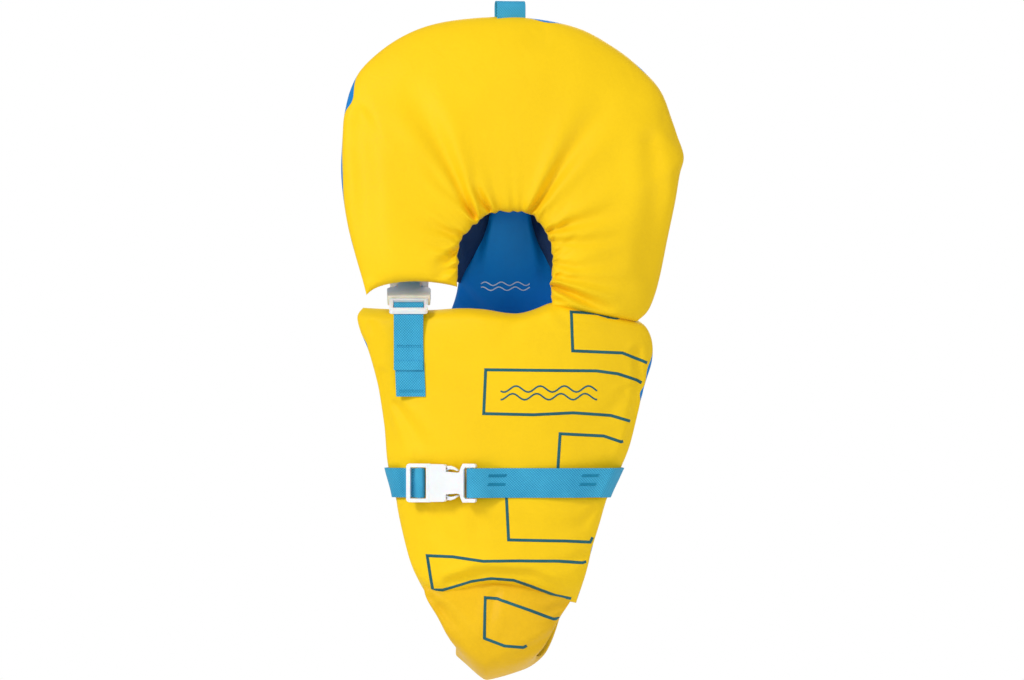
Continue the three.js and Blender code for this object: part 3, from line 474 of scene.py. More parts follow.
outer_lean = peek(collar_outer, [
    (-137.5, -80, 17, 25), (-144.5, -148, 34, 17), (-133, -206, 9, 10), (30, -18, 18, 13), (112, -57, 9, 9),
], 8)
outer_lean *= np.sin(math.pi * collar_shares) ** 0.3
inner_lean = math.radians(4.0) * np.sin(math.pi * collar_shares)
collar_sections = sewn_section(COLLAR_COLUMNS, inner_lean, outer_lean, 0.78)
end_crown = (1 - np.abs(2 * collar_shares - 1) ** 26) ** 0.5
collar_half = 24.5 * (0.62 + 0.38 * np.sin(math.pi * collar_shares)) * end_crown
collar_grids = []
for share, out in collar_sections:
    xz = collar_inner[:, None] * (1 - share[..., None]) + collar_outer[:, None] * share[..., None]
    # The free end is cut in a shallow scallop, between a point at its outer corner and the neck edge.
    to_end = np.exp(-collar_shares / 0.03)[:, None]
    xz[..., 1] += to_end * (6 * np.sin(math.pi * np.clip(share, 0, 1)) ** 0.8 - 5 * share ** 12 + 7 * share - 4)
    y = collar_middle(xz[..., 0], xz[..., 1]) - collar_half[:, None] * out
    collar_grids.append(np.stack([xz[..., 0], y, xz[..., 1]], 2))
near_neck = np.broadcast_to(np.linspace(1, 0.1, COLLAR_COLUMNS), (COLLAR_ROWS, COLLAR_COLUMNS))
collar_front, collar_rear = puff(*collar_grids, pressure=3, most=5, spare=0.12, slack=near_neck)

FOLD_STRENGTH = 1.55
COLLAR_FOLDS = [
    ([(-31, -183), (-64, -114), (-92, -66)], 5.0, 2.6, 15, 0.8),
    ([(-17, -179), (-25, -168), (-35, -150)], 4.2, 1.8, 5, 0.9),
    ([(-29, -186), (-57, -156), (-78, -126)], 3.2, 2.4, 8, 0.9),
    ([(15.5, -182), (27, -168), (64, -112), (90, -80)], 5.5, 1.9, 15, 0.8),
    ([(20, -184), (28, -172), (38, -160)], 2.4, 1.6, 4, 1.0),
    ([(32, -197), (55, -190), (98, -178)], 4.4, 1.9, 10, 0.9),
    ([(36, -206), (67, -206), (100, -202)], 2.6, 1.8, 7, 1.0),
    ([(36.5, -223), (60, -229), (100, -222)], 2.4, 2.0, 9, 1.0),
    ([(36, -243), (56, -251), (88, -266)], 6.0, 2.4, 7, 0.5),
    ([(40, -236), (70, -240), (104, -246)], 2.2, 2.4, 9, 0.8),
    ([(-44, -211), (-54, -222), (-66, -234)], 4.6, 2.0, 8, 0.8),
    ([(-44, -226), (-54, -231), (-66, -240)], 3.0, 1.6, 6, 1.0),
    ([(-40, -201), (-58, -196), (-84, -186)], 2.6, 2.0, 9, 1.0),
    ([(-128, -100), (-124, -160), (-121, -240)], 1.8, 9, 12, 0.2),
    ([(120, -120), (124, -170), (118, -240)], 1.6, 8, 12, 0.2),
]


def gather(grid, folds, centre, sign, seed):
    """Pressed folds along the given lines and short puckers at the neck edge, whose waves follow the edge and fade
    outwards. The cloth moves towards the cushion's middle, by less at the seams."""
    x, z = grid[..., 0], grid[..., 2]
    pressed = FOLD_STRENGTH * sum(crease(x, z, line, *rest) for line, *rest in folds)
    random = np.random.default_rng(seed)
    step = np.concatenate([[0], np.cumsum(np.linalg.norm(np.diff(centre, axis=0), axis=1))])
    waves = sum(np.sin(2 * math.pi * step / pitch + random.uniform(0, 6.3)) * size
                for pitch, size in ((9.5, 1.0), (6.3, 0.7), (14.0, 0.8)))
    away = np.hypot(x - centre[:, None, 0], z - centre[:, None, 1])
    pressed = pressed + 1.0 * waves[:, None] * np.exp(-away / 15) * smoothstep(away / 5)
    pressed = pressed + 0.5 * rumple(x, z, 70, seed + 1)
    rim, ends = held_edges(*grid.shape[:2], 16, 5)
    moved = grid.copy()
    moved[..., 1] += sign * pressed * rim * ends[:, None]
    # Between the folds the neck edge itself runs in and out a little.
    scallop = 0.55 * waves * np.sin(math.pi * collar_shares) ** 0.2
    outwards = (collar_outer - collar_inner) / np.linalg.norm(collar_outer - collar_inner, axis=1, keepdims=True)
    reach = np.exp(-away / 9)
    moved[..., 0] += outwards[:, None, 0] * scallop[:, None] * reach
    moved[..., 2] += outwards[:, None, 1] * scallop[:, None] * reach
    return moved


collar_front = gather(collar_front, COLLAR_FOLDS, collar_inner, 1, 5)
rear_folds = [(line, 0.6 * depth, narrow + 1, wide, fade) for line, depth, narrow, wide, fade in COLLAR_FOLDS]
collar_rear = gather(collar_rear, rear_folds, collar_inner, -1, 5)
collar_front_piece, collar_rear_piece = cushion_halves(
    "collar", collar_front, collar_rear, (yellow_nylon, blue_nylon))
dress(
    collar_front_piece, "jacket", "yellow_nylon", "collar_cover_front", "collar_foam_front", "neck_elastic",
    fill=0.85)
dress(collar_rear_piece, "jacket", "blue_nylon", "collar_cover_back", "collar_foam_back", fill=0.85)


# ---- Chest panel ----
# Two foam sheets between a yellow cover and a blue lining. The belt presses a shallow channel into it, and below the
# foam the cover rolls under, over the crotch piece.

def patch_place(left, right, top, bottom, across, down):
    """Places inside an outline of four edges: the blend of the left and right edges, plus the blend of the top and
    bottom ones, less the blend of the four corners."""
    s, t = across[..., None], down[:, None, None]

    def along_edge(edge):
        steps = np.linspace(0, 1, len(edge))
        return np.stack([np.interp(across, steps, edge[:, k]) for k in range(2)], 2)

    sides = (1 - s) * left[:, None] + s * right[:, None]
    ends = (1 - t) * along_edge(top) + t * along_edge(bottom)
    corners = ((1 - s) * (1 - t) * left[0] + s * (1 - t) * right[0] + (1 - s) * t * left[-1] + s * t * right[-1])
    return sides + ends - corners


CHEST_ROWS, CHEST_COLUMNS = 96, 72
chest_down = shares_to_ends(CHEST_ROWS, 0.35)
chest_left = smooth_line([
    (-125, -261), (-130, -268), (-128, -280), (-121, -297), (-113, -325), (-107, -362), (-104, -395), (-98, -418),
    (-95, -436), (-90, -458), (-83, -482), (-71, -506),
], chest_down)
chest_right = smooth_line([
    (106, -270), (116, -278), (121, -290), (121, -306), (115, -326), (109, -350), (101, -381), (92, -402),
    (82, -424), (75.5, -446), (70, -464), (64.5, -486), (56, -512),
], chest_down)
even = np.linspace(0, 1, 120)
chest_top = smooth_line([
    (-125, -261), (-106, -262), (-68, -263), (-42, -261.5), (-21, -262.5), (-4, -265.5), (8, -266), (22, -262),
    (36, -256.5), (56, -259), (80, -265), (106, -270),
], even)
chest_bottom = smooth_line([
    (-71, -506), (-60, -510), (-47, -506), (-30, -499), (-10, -497), (12, -500), (34, -508), (56, -513),
], even)


def chest_middle(x):
    """y of the panel's middle, which curves round the chest by 0.002 of x times x."""
    return -66.8 + 0.002 * x * x


left_lean = peek(chest_left, [(-122, -291, 9, 10), (-79, -500, 8, 9)], 10)
right_lean = peek(chest_right, [(119, -312, 17, 13), (113, -334, 9, 13), (58, -505, 8, 10), (70, -466, 7, 8)], 10)
fade_lean = np.sin(math.pi * chest_down) ** 0.3
chest_grids = []
for share, out in sewn_section(CHEST_COLUMNS, left_lean * fade_lean, right_lean * fade_lean, 0.6):
    xz = patch_place(chest_left, chest_right, chest_top, chest_bottom, share, chest_down)
    half = 14.5 * (1 - np.abs(2 * chest_down - 1) ** 14) ** 0.5
    half = half * (1 - 0.12 * smoothstep((chest_down - 0.6) / 0.2) + 0.12 * smoothstep((chest_down - 0.85) / 0.1))
    # The top edge rolls over to the back, so its seam isn't seen from the front.
    roll = 7 * np.exp(-((chest_down / 0.03) ** 2)) + 9 * np.exp(-(((1 - chest_down) / 0.05) ** 2))
    y = chest_middle(xz[..., 0]) - half[:, None] * out + roll[:, None]
    chest_grids.append(np.stack([xz[..., 0], y, xz[..., 1]], 2))
chest_front, chest_rear = puff(*chest_grids, pressure=2.5, most=3.0, spare=0.05)

CHEST_FOLDS = [
    ([(-97, -343), (-82, -366), (-66, -390)], 3.4, 3.5, 10, 0.8),
    ([(-108, -318), (-104, -350), (-98, -392)], 2.2, 5, 7, 0.4),
    ([(-118, -276), (-110, -300)], 2.0, 4, 6, 0.6),
    ([(-70, -262), (-66, -280), (-64, -300)], 1.8, 4, 8, 0.8),
    ([(8, -266), (0, -282), (-8, -300)], 1.6, 4, 9, 1.0),
    ([(36, -260), (50, -276), (72, -282), (100, -284)], 1.8, 3, 8, 0.7),
    ([(108, -298), (110, -330), (104, -364), (96, -392)], 2.6, 3.5, 4.5, 0.2),
    ([(96, -336), (84, -350), (60, -362)], 1.4, 4, 8, 1.0),
    ([(-34, -430), (-26, -446), (-30, -466)], 2.2, 4, 8, 0.9),
    ([(-66, -430), (-58, -452), (-40, -470)], 1.8, 4, 9, 0.9),
    ([(72, -432), (60, -446), (34, -452)], 1.6, 3, 8, 1.0),
    ([(-52, -494), (-20, -486), (20, -488), (44, -500)], 2.6, 4, 5, 0.3),
    ([(66, -470), (48, -478), (20, -480)], 2.0, 3, 7, 0.9),
]
x, z = chest_front[..., 0], chest_front[..., 2]
BELT_Z = -410.0
pressed = sum(crease(x, z, line, *rest) for line, *rest in CHEST_FOLDS)
pressed += 1.6 * np.exp(-(((z - BELT_Z) / 15) ** 4)) - 0.8 * np.exp(-(((np.abs(z - BELT_Z) - 24) / 9) ** 2))
pressed += 0.8 * np.exp(-(((x + 86) / 16) ** 4)) * smoothstep((z + 350) / 12)
pressed += 0.7 * rumple(x, z, 85, 21) + 0.22 * rumple(x, z, 26, 22)
rim, ends = held_edges(CHEST_ROWS, CHEST_COLUMNS, 12, 6)
chest_front = chest_front.copy()
chest_front[..., 1] += pressed * rim * ends[:, None]
rear_pressed = 1.2 * rumple(chest_rear[..., 0], chest_rear[..., 2], 60, 31)
chest_rear = chest_rear.copy()
chest_rear[..., 1] -= rear_pressed * rim * ends[:, None]
chest_front_piece, chest_rear_piece = cushion_halves(
    "chest", chest_front, chest_rear, (yellow_nylon, blue_nylon))
dress(chest_front_piece, "jacket", "yellow_nylon", "chest_cover", "chest_foam_outer", fill=0.8)
dress(chest_rear_piece, "jacket", "blue_nylon", "chest_lining", "chest_foam_inner", fill=0.8)


# ---- Crotch piece ----
# Cloth over a thin foam sheet, which comes out from under the chest panel's lower edge, narrows, turns under the
# wearer and rises to the back panel. Both its faces are yellow.

CROTCH_ROWS, CROTCH_COLUMNS = 84, 48
crotch_share = shares_to_ends(CROTCH_ROWS, 0.15)
crotch_path = smooth_line([
    (-56, -486), (-59, -500), (-63, -516), (-65, -530), (-64.5, -546), (-57.5, -561), (-42, -571), (-22, -574.5),
    (-2, -571.5), (14, -562), (25, -548), (31, -533), (33, -518), (33.5, -504),
], crotch_share)
path_length = np.concatenate([[0], np.cumsum(np.linalg.norm(np.diff(crotch_path, axis=0), axis=1))])
path_share = path_length / path_length[-1]
crotch_half_width = np.interp(
    path_share, [0, 0.08, 0.13, 0.19, 0.27, 0.36, 0.46, 0.56, 0.66, 0.78, 0.9, 1],
    [64, 65, 60, 52, 46, 40, 35, 34, 36, 41, 46, 47])
crotch_centre = np.interp(
    path_share, [0, 0.08, 0.15, 0.25, 0.35, 0.45, 0.6, 0.8, 1], [-8, -9, -9.5, -10, -10.5, -12, -12, -5, 0])
smoothing = np.hanning(13) / np.hanning(13).sum()
ease = np.convolve(np.pad(crotch_half_width, 6, mode="edge"), smoothing, "valid")
centre_ease = np.convolve(np.pad(crotch_centre, 6, mode="edge"), smoothing, "valid")
tangent = np.gradient(crotch_path, axis=0)
tangent /= np.linalg.norm(tangent, axis=1, keepdims=True)
outward = np.stack([tangent[:, 1], -tangent[:, 0]], 1)  # out of the U, as [y, z]
# Near the bottom of the U the sides lift, so that the front ends in a rounded point left of its middle.
bottom = np.exp(-(((path_share - 0.47) / 0.2) ** 2))
crotch_grids = []
flat_lean = math.radians(6.0) * np.sin(math.pi * crotch_share)
for share, out in sewn_section(CROTCH_COLUMNS, flat_lean, flat_lean, 0.45):
    side = 2 * share - 1
    thick = 4.2 * (1 - np.abs(2 * crotch_share - 1) ** 20) ** 0.5
    xs = centre_ease[:, None] + side * ease[:, None]
    curl = np.where(side > 0, 13, 7) * np.abs(side) ** 3.2 * np.exp(-(((path_share - 0.24) / 0.16) ** 2))[:, None]
    ys = crotch_path[:, :1] + outward[:, :1] * out * thick[:, None] + curl
    left_lift = 26 * (np.abs(side + 0.25) / 0.75) ** 1.25
    right_lift = 11 * (np.abs(side + 0.25) / 1.25) ** 1.2 + 8 * np.maximum(side, 0) ** 5
    tip = np.where(side < -0.25, left_lift, right_lift)
    zs = crotch_path[:, 1:] + outward[:, 1:] * out * thick[:, None] + tip * bottom[:, None]
    crotch_grids.append(np.stack([xs, ys, zs], 2))
crotch_out, crotch_in = puff(*crotch_grids, pressure=2.0, most=1.8, spare=0.03, frames=10)

CROTCH_FOLDS = [
    ([(-12, -503), (-17, -526), (-20, -548)], 3.0, 3.0, 5, 0.6),
    ([(-60, -516), (-38, -540), (-22, -556)], 2.2, 4, 7, 0.7),
    ([(50, -512), (30, -520), (4, -518)], 2.2, 3, 6, 0.9),
    ([(40, -536), (22, -548), (-8, -562)], 2.6, 3, 6, 0.7),
    ([(-68, -508), (-52, -520), (-44, -532)], 1.8, 3, 6, 0.8),
]
x, z = crotch_out[..., 0], crotch_out[..., 2]
facing = smoothstep((0.46 - path_share) / 0.1)[:, None]
dent = facing * sum(crease(x, z, line, *rest) for line, *rest in CROTCH_FOLDS)
dent = dent + 0.7 * rumple(x, path_length[:, None] + 0 * x, 45, 41)
rim, ends = held_edges(CROTCH_ROWS, CROTCH_COLUMNS, 9, 5)
dent *= rim * ends[:, None]
shift = np.stack([0 * dent, -outward[:, :1] * dent, -outward[:, 1:] * dent], 2)
# Both faces take a deeper, more orange copy of the yellow nylon: painted shade, for the crotch turning away from the
# light.
crotch_nylon_in_painted_shade = woven_material(
    "crotch nylon in painted shade", (0.75, 0.43, 0.002), (0.87, 0.52, 0.003), 0.0005, 0.0005, 0.5, 0.00002, 14.0, 0.0008)
crotch_piece = pillow("crotch_piece", crotch_out + shift, crotch_in + 0.6 * shift, crotch_nylon_in_painted_shade, 1)
dress(crotch_piece, "jacket", "yellow_nylon", "crotch_cover", "crotch_foam", "crotch_lining", fill=0.4)


# ---- Back panel ----
# A blue cushion of two foam sheets that lies on the wearer's back. Its top narrows to a tongue, which leans forward
# to the collar and shows through the neck hole.

BACK_ROWS, BACK_COLUMNS = 100, 60
back_down = shares_to_ends(BACK_ROWS, 0.3)
back_edge = smooth_line([
    (14, -151), (16, -170), (18.5, -184), (25, -203), (34, -221), (43, -235), (46, -250), (53, -268), (68, -288),
    (79, -306), (89, -330), (91.5, -352), (87, -400), (78, -438), (68, -468), (56, -498), (44, -519),
], back_down)


def back_middle(x, z):
    """y of the panel's middle: flat, bent forward at the sides, and leaning forward up the tongue."""
    lean = smoothstep((z + 309) / 133.5)
    return 34.2 + (-10.4 - 34.2) * lean - 0.004 * np.maximum(0, np.abs(x) - 42) ** 2


back_grids = []
back_lean = np.radians(5 * np.sin(math.pi * back_down))
for share, out in sewn_section(BACK_COLUMNS, back_lean, back_lean, 0.6):
    xs = (2 * share - 1) * back_edge[:, :1]
    zs = back_edge[:, 1:] + 0 * share
    half = 12.4 * (1 - np.abs(2 * back_down - 1) ** 16) ** 0.5
    half = half * (0.72 + 0.28 * smoothstep(-(back_edge[:, 1] + 150) / 120))
    ys = back_middle(xs, zs) - half[:, None] * out
    back_grids.append(np.stack([xs, ys, zs], 2))
back_front, back_rear = puff(*back_grids, pressure=2.5, most=2.2, spare=0.04)
BACK_FOLDS = [
    ([(-20, -188), (-26, -212), (-30, -236)], 2.2, 2.5, 5, 0.6),
    ([(20, -188), (27, -214), (32, -240)], 2.0, 2.5, 5, 0.6),
    ([(-40, -246), (-20, -268), (10, -276)], 2.0, 4, 8, 0.6),
    ([(0, -160), (2, -190), (-2, -226)], 0.9, 6, 10, 0.6),
]
rim, ends = held_edges(BACK_ROWS, BACK_COLUMNS, 10, 6)
back_front, back_rear = back_front.copy(), back_rear.copy()
x, z = back_front[..., 0], back_front[..., 2]
pressed = sum(crease(x, z, line, *rest) for line, *rest in BACK_FOLDS) + 0.8 * rumple(x, z, 60, 51)
back_front[..., 1] += pressed * rim * ends[:, None]
x, z = back_rear[..., 0], back_rear[..., 2]
pressed = 1.2 * np.exp(-(((z - BELT_Z) / 15) ** 4)) + 0.8 * rumple(x, z, 70, 52) + 0.25 * rumple(x, z, 24, 53)
back_rear[..., 1] -= pressed * rim * ends[:, None]
back_panel = pillow("back_panel", back_front, back_rear, blue_nylon, 1)
dress(
    back_panel, "jacket", "blue_nylon", "back_cover", "back_lining", "back_foam_outer", "back_foam_inner",
    fill=0.8)


# ---- Neck gussets ----
# Two wedges of thin cloth that close the gaps between the collar's neck edge and the tongue of the back panel. Their
# near-black colour is painted shade: the blue cloth as it looks deep in the shadowed neck hole.

# Painted shade: a near-black blue for the gussets, which stand for blue cloth in deep shadow inside the neck hole.
navy_nylon = woven_material(
    "gusset nylon in painted shade", (0.003, 0.012, 0.05), (0.006, 0.03, 0.1), 0.0005, 0.0005, 0.5, 0.00002, 14.0, 0.0008)


def sheet_of(name, grid, thick, finish, levels=0):
    """A sheet of even thickness about a grid of points, thinning to nothing at its rim. The normals are the cross
    product of the grid's two directions."""
    normal = np.cross(np.gradient(grid, axis=0), np.gradient(grid, axis=1))
    normal /= np.maximum(np.linalg.norm(normal, axis=2, keepdims=True), 1e-9)
    return pillow(name, grid + normal * thick / 2, grid - normal * thick / 2, finish, levels)


for side, name in ((-1, "right"), (1, "left")):
    climb = np.linspace(0, 1, 36)
    around = 0.03 + 0.4 * climb if side < 0 else 0.97 - 0.4 * climb
    front_edge = np.stack([np.interp(around, collar_shares, collar_inner[:, k]) for k in range(2)], 1)
    outer_edge = np.stack([np.interp(around, collar_shares, collar_outer[:, k]) for k in range(2)], 1)
    front_edge += (outer_edge - front_edge) * 0.02
    rear_z = -242 + climb * 72
    rear_x = side * (np.interp(-rear_z, -back_edge[:, 1], back_edge[:, 0]) - 3.0)
    front_x, front_z = front_edge[:, 0], front_edge[:, 1]
    near = np.stack([front_x, collar_middle(front_x, front_z) + 1, front_z], 1)
    far = np.stack([rear_x, back_middle(rear_x, rear_z), rear_z], 1)
    step = np.linspace(0, 1, 22)[None, :, None]
    grid = near[:, None] * (1 - step) + far[:, None] * step
    folds = np.sin(math.pi * step[..., 0]) * (1.6 * np.sin(climb[:, None] * 15 + 3 * step[..., 0]) + 2.0)
    grid[..., 0] += side * folds
    gusset = sheet_of(f"neck_gusset_piece_{name}", grid, 0.7, navy_nylon, 1)
    dress(gusset, "jacket", "navy_nylon", f"neck_gusset_{name}")


# ---- Buckles ----
# Two side-release buckles, moulded in acetal: a socket with a bar for the sewn webbing, and a plug with a ladder bar
# that grips the free webbing, between two springy prongs. All edges are rounded, as moulded edges are.

def moulded_material(name, colour, shade, rough):
    """Moulded plastic: a slightly uneven tone, fine satin grain in the gloss and a trace of ripple in the surface."""
    made = bpy.data.materials.new(name)
    made.use_nodes = True
    tree = made.node_tree
    shader = tree.nodes["Principled BSDF"]
    place = wire(tree, "ShaderNodeTexCoord")
    tone = wire(tree, "ShaderNodeGroup", node_tree=TONE)
    tree.links.new(place.outputs["Object"], tone.inputs["Place"])
    tone.inputs["Patches"].default_value = 60
    tone.inputs["Grain"].default_value = 2500
    paint = wire(
        tree, "ShaderNodeMix", [("Factor", tone.outputs["Tone"]), ("A", (*shade, 1)), ("B", (*colour, 1))],
        data_type="RGBA")
    tree.links.new(paint.outputs["Result"], shader.inputs["Base Color"])
    gloss = wire(
        tree, "ShaderNodeMapRange",
        [("Value", tone.outputs["Grain"]), ("To Min", rough - 0.06), ("To Max", rough + 0.1)])
    tree.links.new(gloss.outputs["Result"], shader.inputs["Roughness"])
    grain = wire(
        tree, "ShaderNodeBump", [("Height", tone.outputs["Grain"]), ("Strength", 0.5), ("Distance", 0.00003)])
    tree.links.new(grain.outputs["Normal"], shader.inputs["Normal"])
    shader.inputs["Specular IOR Level"].default_value = 0.5
    shader.inputs["Subsurface Weight"].default_value = 0.25
    shader.inputs["Subsurface Scale"].default_value = 0.004
    return made


white_plastic = moulded_material("white acetal", (0.90, 0.905, 0.92), (0.85, 0.86, 0.875), 0.3)
cream_plastic = moulded_material("cream acetal", (0.95, 0.86, 0.70), (0.88, 0.78, 0.60), 0.36)


class Frame:
    """A buckle's own frame: u along the pull, v across the webbing and w out of its back, in millimetres."""

    def __init__(self, origin, along, out):
        self.origin = np.array(origin)
        self.along, self.out = (np.array(axis) / np.linalg.norm(axis) for axis in (along, out))
        self.across = np.cross(self.out, self.along)

    def place(self, u, v, w):
        u, v, w = np.broadcast_arrays(u, v, w)
        return self.origin + u[..., None] * self.along + v[..., None] * self.across + w[..., None] * self.out

    def local(self, points):
        away = points - self.origin
        return away @ self.along, away @ self.across, away @ self.out


waist = Frame((-57, -75.25465, -410), (0.97201, -0.23493, 0), (-0.23493, -0.97201, 0))
shoulder = Frame((-86, -42.6, -256), (0, 0.88295, 0.46947), (0, -0.46947, 0.88295))


def moulded(name, node, finish, body, slot, round_by=0.55, shape=None):
    """A copy of a CAD node with its doubles merged and its flat faces joined, bent by shape if given, and with every
    sharp edge rounded in three steps."""
    made = bmesh.new()
    made.from_mesh(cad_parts[node].data)
    bmesh.ops.remove_doubles(made, verts=made.verts, dist=1e-6)
    bmesh.ops.dissolve_limit(made, angle_limit=math.radians(2), verts=made.verts, edges=made.edges)
    mesh = bpy.data.meshes.new(name)
    made.to_mesh(mesh)
    made.free()
    if shape:
        points = np.empty(len(mesh.vertices) * 3)
        mesh.vertices.foreach_get("co", points)
        mesh.vertices.foreach_set("co", (shape(points.reshape(-1, 3) / MM) * MM).ravel())
    mesh.materials.clear()
    mesh.materials.append(finish)
    mesh.polygons.foreach_set("use_smooth", np.ones(len(mesh.polygons), bool))
    piece = bpy.data.objects.new(name, mesh)
    bpy.context.scene.collection.objects.link(piece)
    rounded = piece.modifiers.new("Bevel", "BEVEL")
    rounded.width = round_by * MM
    rounded.segments = 3
    rounded.limit_method = "ANGLE"
    rounded.angle_limit = math.radians(24)
    rounded.use_clamp_overlap = True
    rounded.harden_normals = True
    dress(piece, body, slot, node)
    return piece


def winged(points):
    """The shoulder socket: its sides widen into wings at the mouth, by up to a quarter, and its outer wall swells
    towards the bar."""
    u, v, w = shoulder.local(points)
    w = w + 3.0 * smoothstep((u + 6) / 24) * smoothstep((w - 4) / 3) * (1 - 0.5 * np.abs(v / 18) ** 2)
    wider = 1 + 0.24 * np.exp(-(((u + 2) / 9) ** 2)) * smoothstep((np.abs(v) - 9) / 6)
    return shoulder.place(u, v * wider, w)


moulded("waist_socket", "waist_buckle_female", white_plastic, "jacket", "white_plastic", 1.1)
moulded("waist_plug", "waist_buckle_male", white_plastic, "waist_male", "white_plastic", 0.7)
moulded("waist_prong_top", "waist_prong_upper", white_plastic, "waist_upper_prong", "white_plastic", 0.5)
moulded("waist_prong_bottom", "waist_prong_lower", white_plastic, "waist_lower_prong", "white_plastic", 0.5)
moulded("shoulder_socket", "shoulder_buckle_female", cream_plastic, "jacket", "cream_plastic", 1.1, winged)
moulded("shoulder_plug", "shoulder_buckle_male", white_plastic, "shoulder_male", "white_plastic", 0.7)
moulded("shoulder_prong_outer", "shoulder_prong_right", white_plastic, "shoulder_right_prong", "white_plastic", 0.5)
moulded("shoulder_prong_inner", "shoulder_prong_left", white_plastic, "shoulder_left_prong", "white_plastic", 0.5)


# ---- Webbing ----
# Light-blue polypropylene webbing, 25 mm wide: the belt round the waist with its far side behind, the folds round the
# bars of the buckles, the shoulder strap, the keeper on the back and the grab loop.

# The dark colour is painted shade between the threads and the light colour painted light on their tops; the weave
# height mixes them at a share of 0.75.
webbing_cloth = woven_material(
    "light-blue webbing", (0.0, 0.17, 0.37), (0.08, 0.54, 0.80), 0.0012, 0.0011, 0.6, 0.00030, 30.0, 0.0002, 0.75)
WEB_WIDTH = 25.0
WEB_THICK = 1.25
WEB_PLACES = 17
WEB_MIDDLE = WEB_PLACES // 2
across_web = np.sin(np.linspace(-math.pi / 2, math.pi / 2, WEB_PLACES)) * WEB_WIDTH / 2


class Relief:
    """Heights of a face over x and z: the face's grid is filled in with finer points, the outermost y in each cell
    of one millimetre is kept, and a place is read by blending its four cells."""

    def __init__(self, grid, side):
        fine = grid
        for axis in (0, 1):
            count = fine.shape[axis]
            steps = np.linspace(0, count - 1, count * 5)
            below = np.minimum(steps.astype(int), count - 2)
            part = (steps - below).reshape([-1, 1, 1] if axis == 0 else [1, -1, 1])
            fine = np.take(fine, below, axis) * (1 - part) + np.take(fine, below + 1, axis) * part
        fine = fine.reshape(-1, 3)
        self.low = fine[:, [0, 2]].min(0) - 3
        cells = np.ceil((fine[:, [0, 2]].max(0) - self.low) + 6).astype(int)
        spot = np.round(fine[:, [0, 2]] - self.low).astype(int)
        heights = np.full(cells, -1e6)
        np.maximum.at(heights, (spot[:, 0], spot[:, 1]), side * fine[:, 1])
        for _ in range(60):
            if (heights > -1e5).all():
                break
            ring = np.pad(heights, 1, mode="edge")
            near = np.stack([ring[:-2, 1:-1], ring[2:, 1:-1], ring[1:-1, :-2], ring[1:-1, 2:]])
            known = near > -1e5
            mean = np.where(known, near, 0).sum(0) / np.maximum(known.sum(0), 1)
            heights = np.where((heights < -1e5) & known.any(0), mean, heights)
        self.side, self.heights = side, heights

    def __call__(self, x, z):
        x, z = np.broadcast_arrays(np.asarray(x, float), np.asarray(z, float))
        place = np.stack([x - self.low[0], z - self.low[1]])
        place = np.clip(place, 0, np.array(self.heights.shape).reshape(2, *[1] * x.ndim) - 1.001)
        cell = place.astype(int)
        (i, j), (p, q) = cell, place - cell
        h = self.heights
        near = h[i, j] * (1 - p) + h[i + 1, j] * p
        far = h[i, j + 1] * (1 - p) + h[i + 1, j + 1] * p
        return self.side * (near * (1 - q) + far * q)


chest_relief = Relief(chest_front, -1)
back_relief = Relief(back_rear, 1)


def webbing(name, run, body, *nodes):
    """A strip of webbing along a run of points for each place across it: an array of stations, places and
    coordinates, smoothed along its length. Its thickness is full until close to the selvedges."""
    run = np.asarray(run, float)
    count = int(np.linalg.norm(np.diff(run[:, run.shape[1] // 2], axis=0), axis=1).sum() / 1.6) + 8
    shares = np.linspace(0, 1, count)
    shares[1], shares[-2] = 0.12 / count, 1 - 0.12 / count
    grid = np.stack([smooth_line(run[:, k], shares) for k in range(run.shape[1])], 1)
    made = sheet_of(name, grid, WEB_THICK, webbing_cloth)
    dress(made, body, "webbing", *nodes)
    return grid


def stretched_over(relief, x, z, height, reach=7):
    """y of stiff webbing laid over a face: the face's outermost y within a short reach along the run, smoothed."""
    level = relief.side * relief(x, z)
    wide = np.pad(level, ((reach, reach), (0, 0)), mode="edge")
    outermost = np.max([wide[k : k + len(level)] for k in range(2 * reach + 1)], axis=0)
    kernel = np.hanning(2 * reach + 3)[1:-1]
    wide = np.pad(outermost, ((reach, reach), (0, 0)), mode="edge")
    smooth = sum(weight * wide[k : k + len(level)] for k, weight in enumerate(kernel / kernel.sum()))
    return relief.side * (smooth + height)


def run_over(relief, xs, zs, height):
    """Points of webbing laid over a face. Across its width it lies level at the mean height, and where the face
    stands more than 1.2 mm above that, it follows 1.2 mm lower."""
    y = relief.side * stretched_over(relief, xs, zs, height)
    y = relief.side * np.maximum(y.mean(1, keepdims=True), y - 1.2)
    return np.stack([xs + 0 * y, y, zs + 0 * y], 2)


rise = across_web[None, :]
line_z = BELT_Z + across_web


def edge_x(edge, z):
    """x of an outline's side at a height, from its points in order down the side."""
    return np.interp(-z, -edge[:, 1], edge[:, 0])


chest_left_x, chest_right_x = edge_x(chest_left, line_z), edge_x(chest_right, line_z)
back_right_x = edge_x(back_edge, line_z)


def belt_stretch(x_from, x_to, count, relief, height):
    share = np.linspace(0, 1, count)[:, None]
    xs = x_from + (x_to - x_from) * share
    return run_over(relief, xs + 0 * rise, line_z[None] + 0 * xs, height)


def belt_side(chest_x, back_x, side):
    """The free side of the belt: out round the chest panel's seam, straight back, and in round the back panel's."""
    chest_y, back_y = chest_middle(chest_x), back_middle(back_x, line_z)
    places = [
        (chest_x + side * 1.6, chest_y - 5), (chest_x + side * 2.6, chest_y + 6),
        (back_x + side * 2.6, back_y - 8), (back_x + side * 1.6, back_y + 2),
    ]
    return np.stack([np.stack([x, y, line_z], 1) for x, y in places])


at_u = -57 + waist.along[0] * np.array([47.0, 41.0, 50.0, 57.0, 62.0])
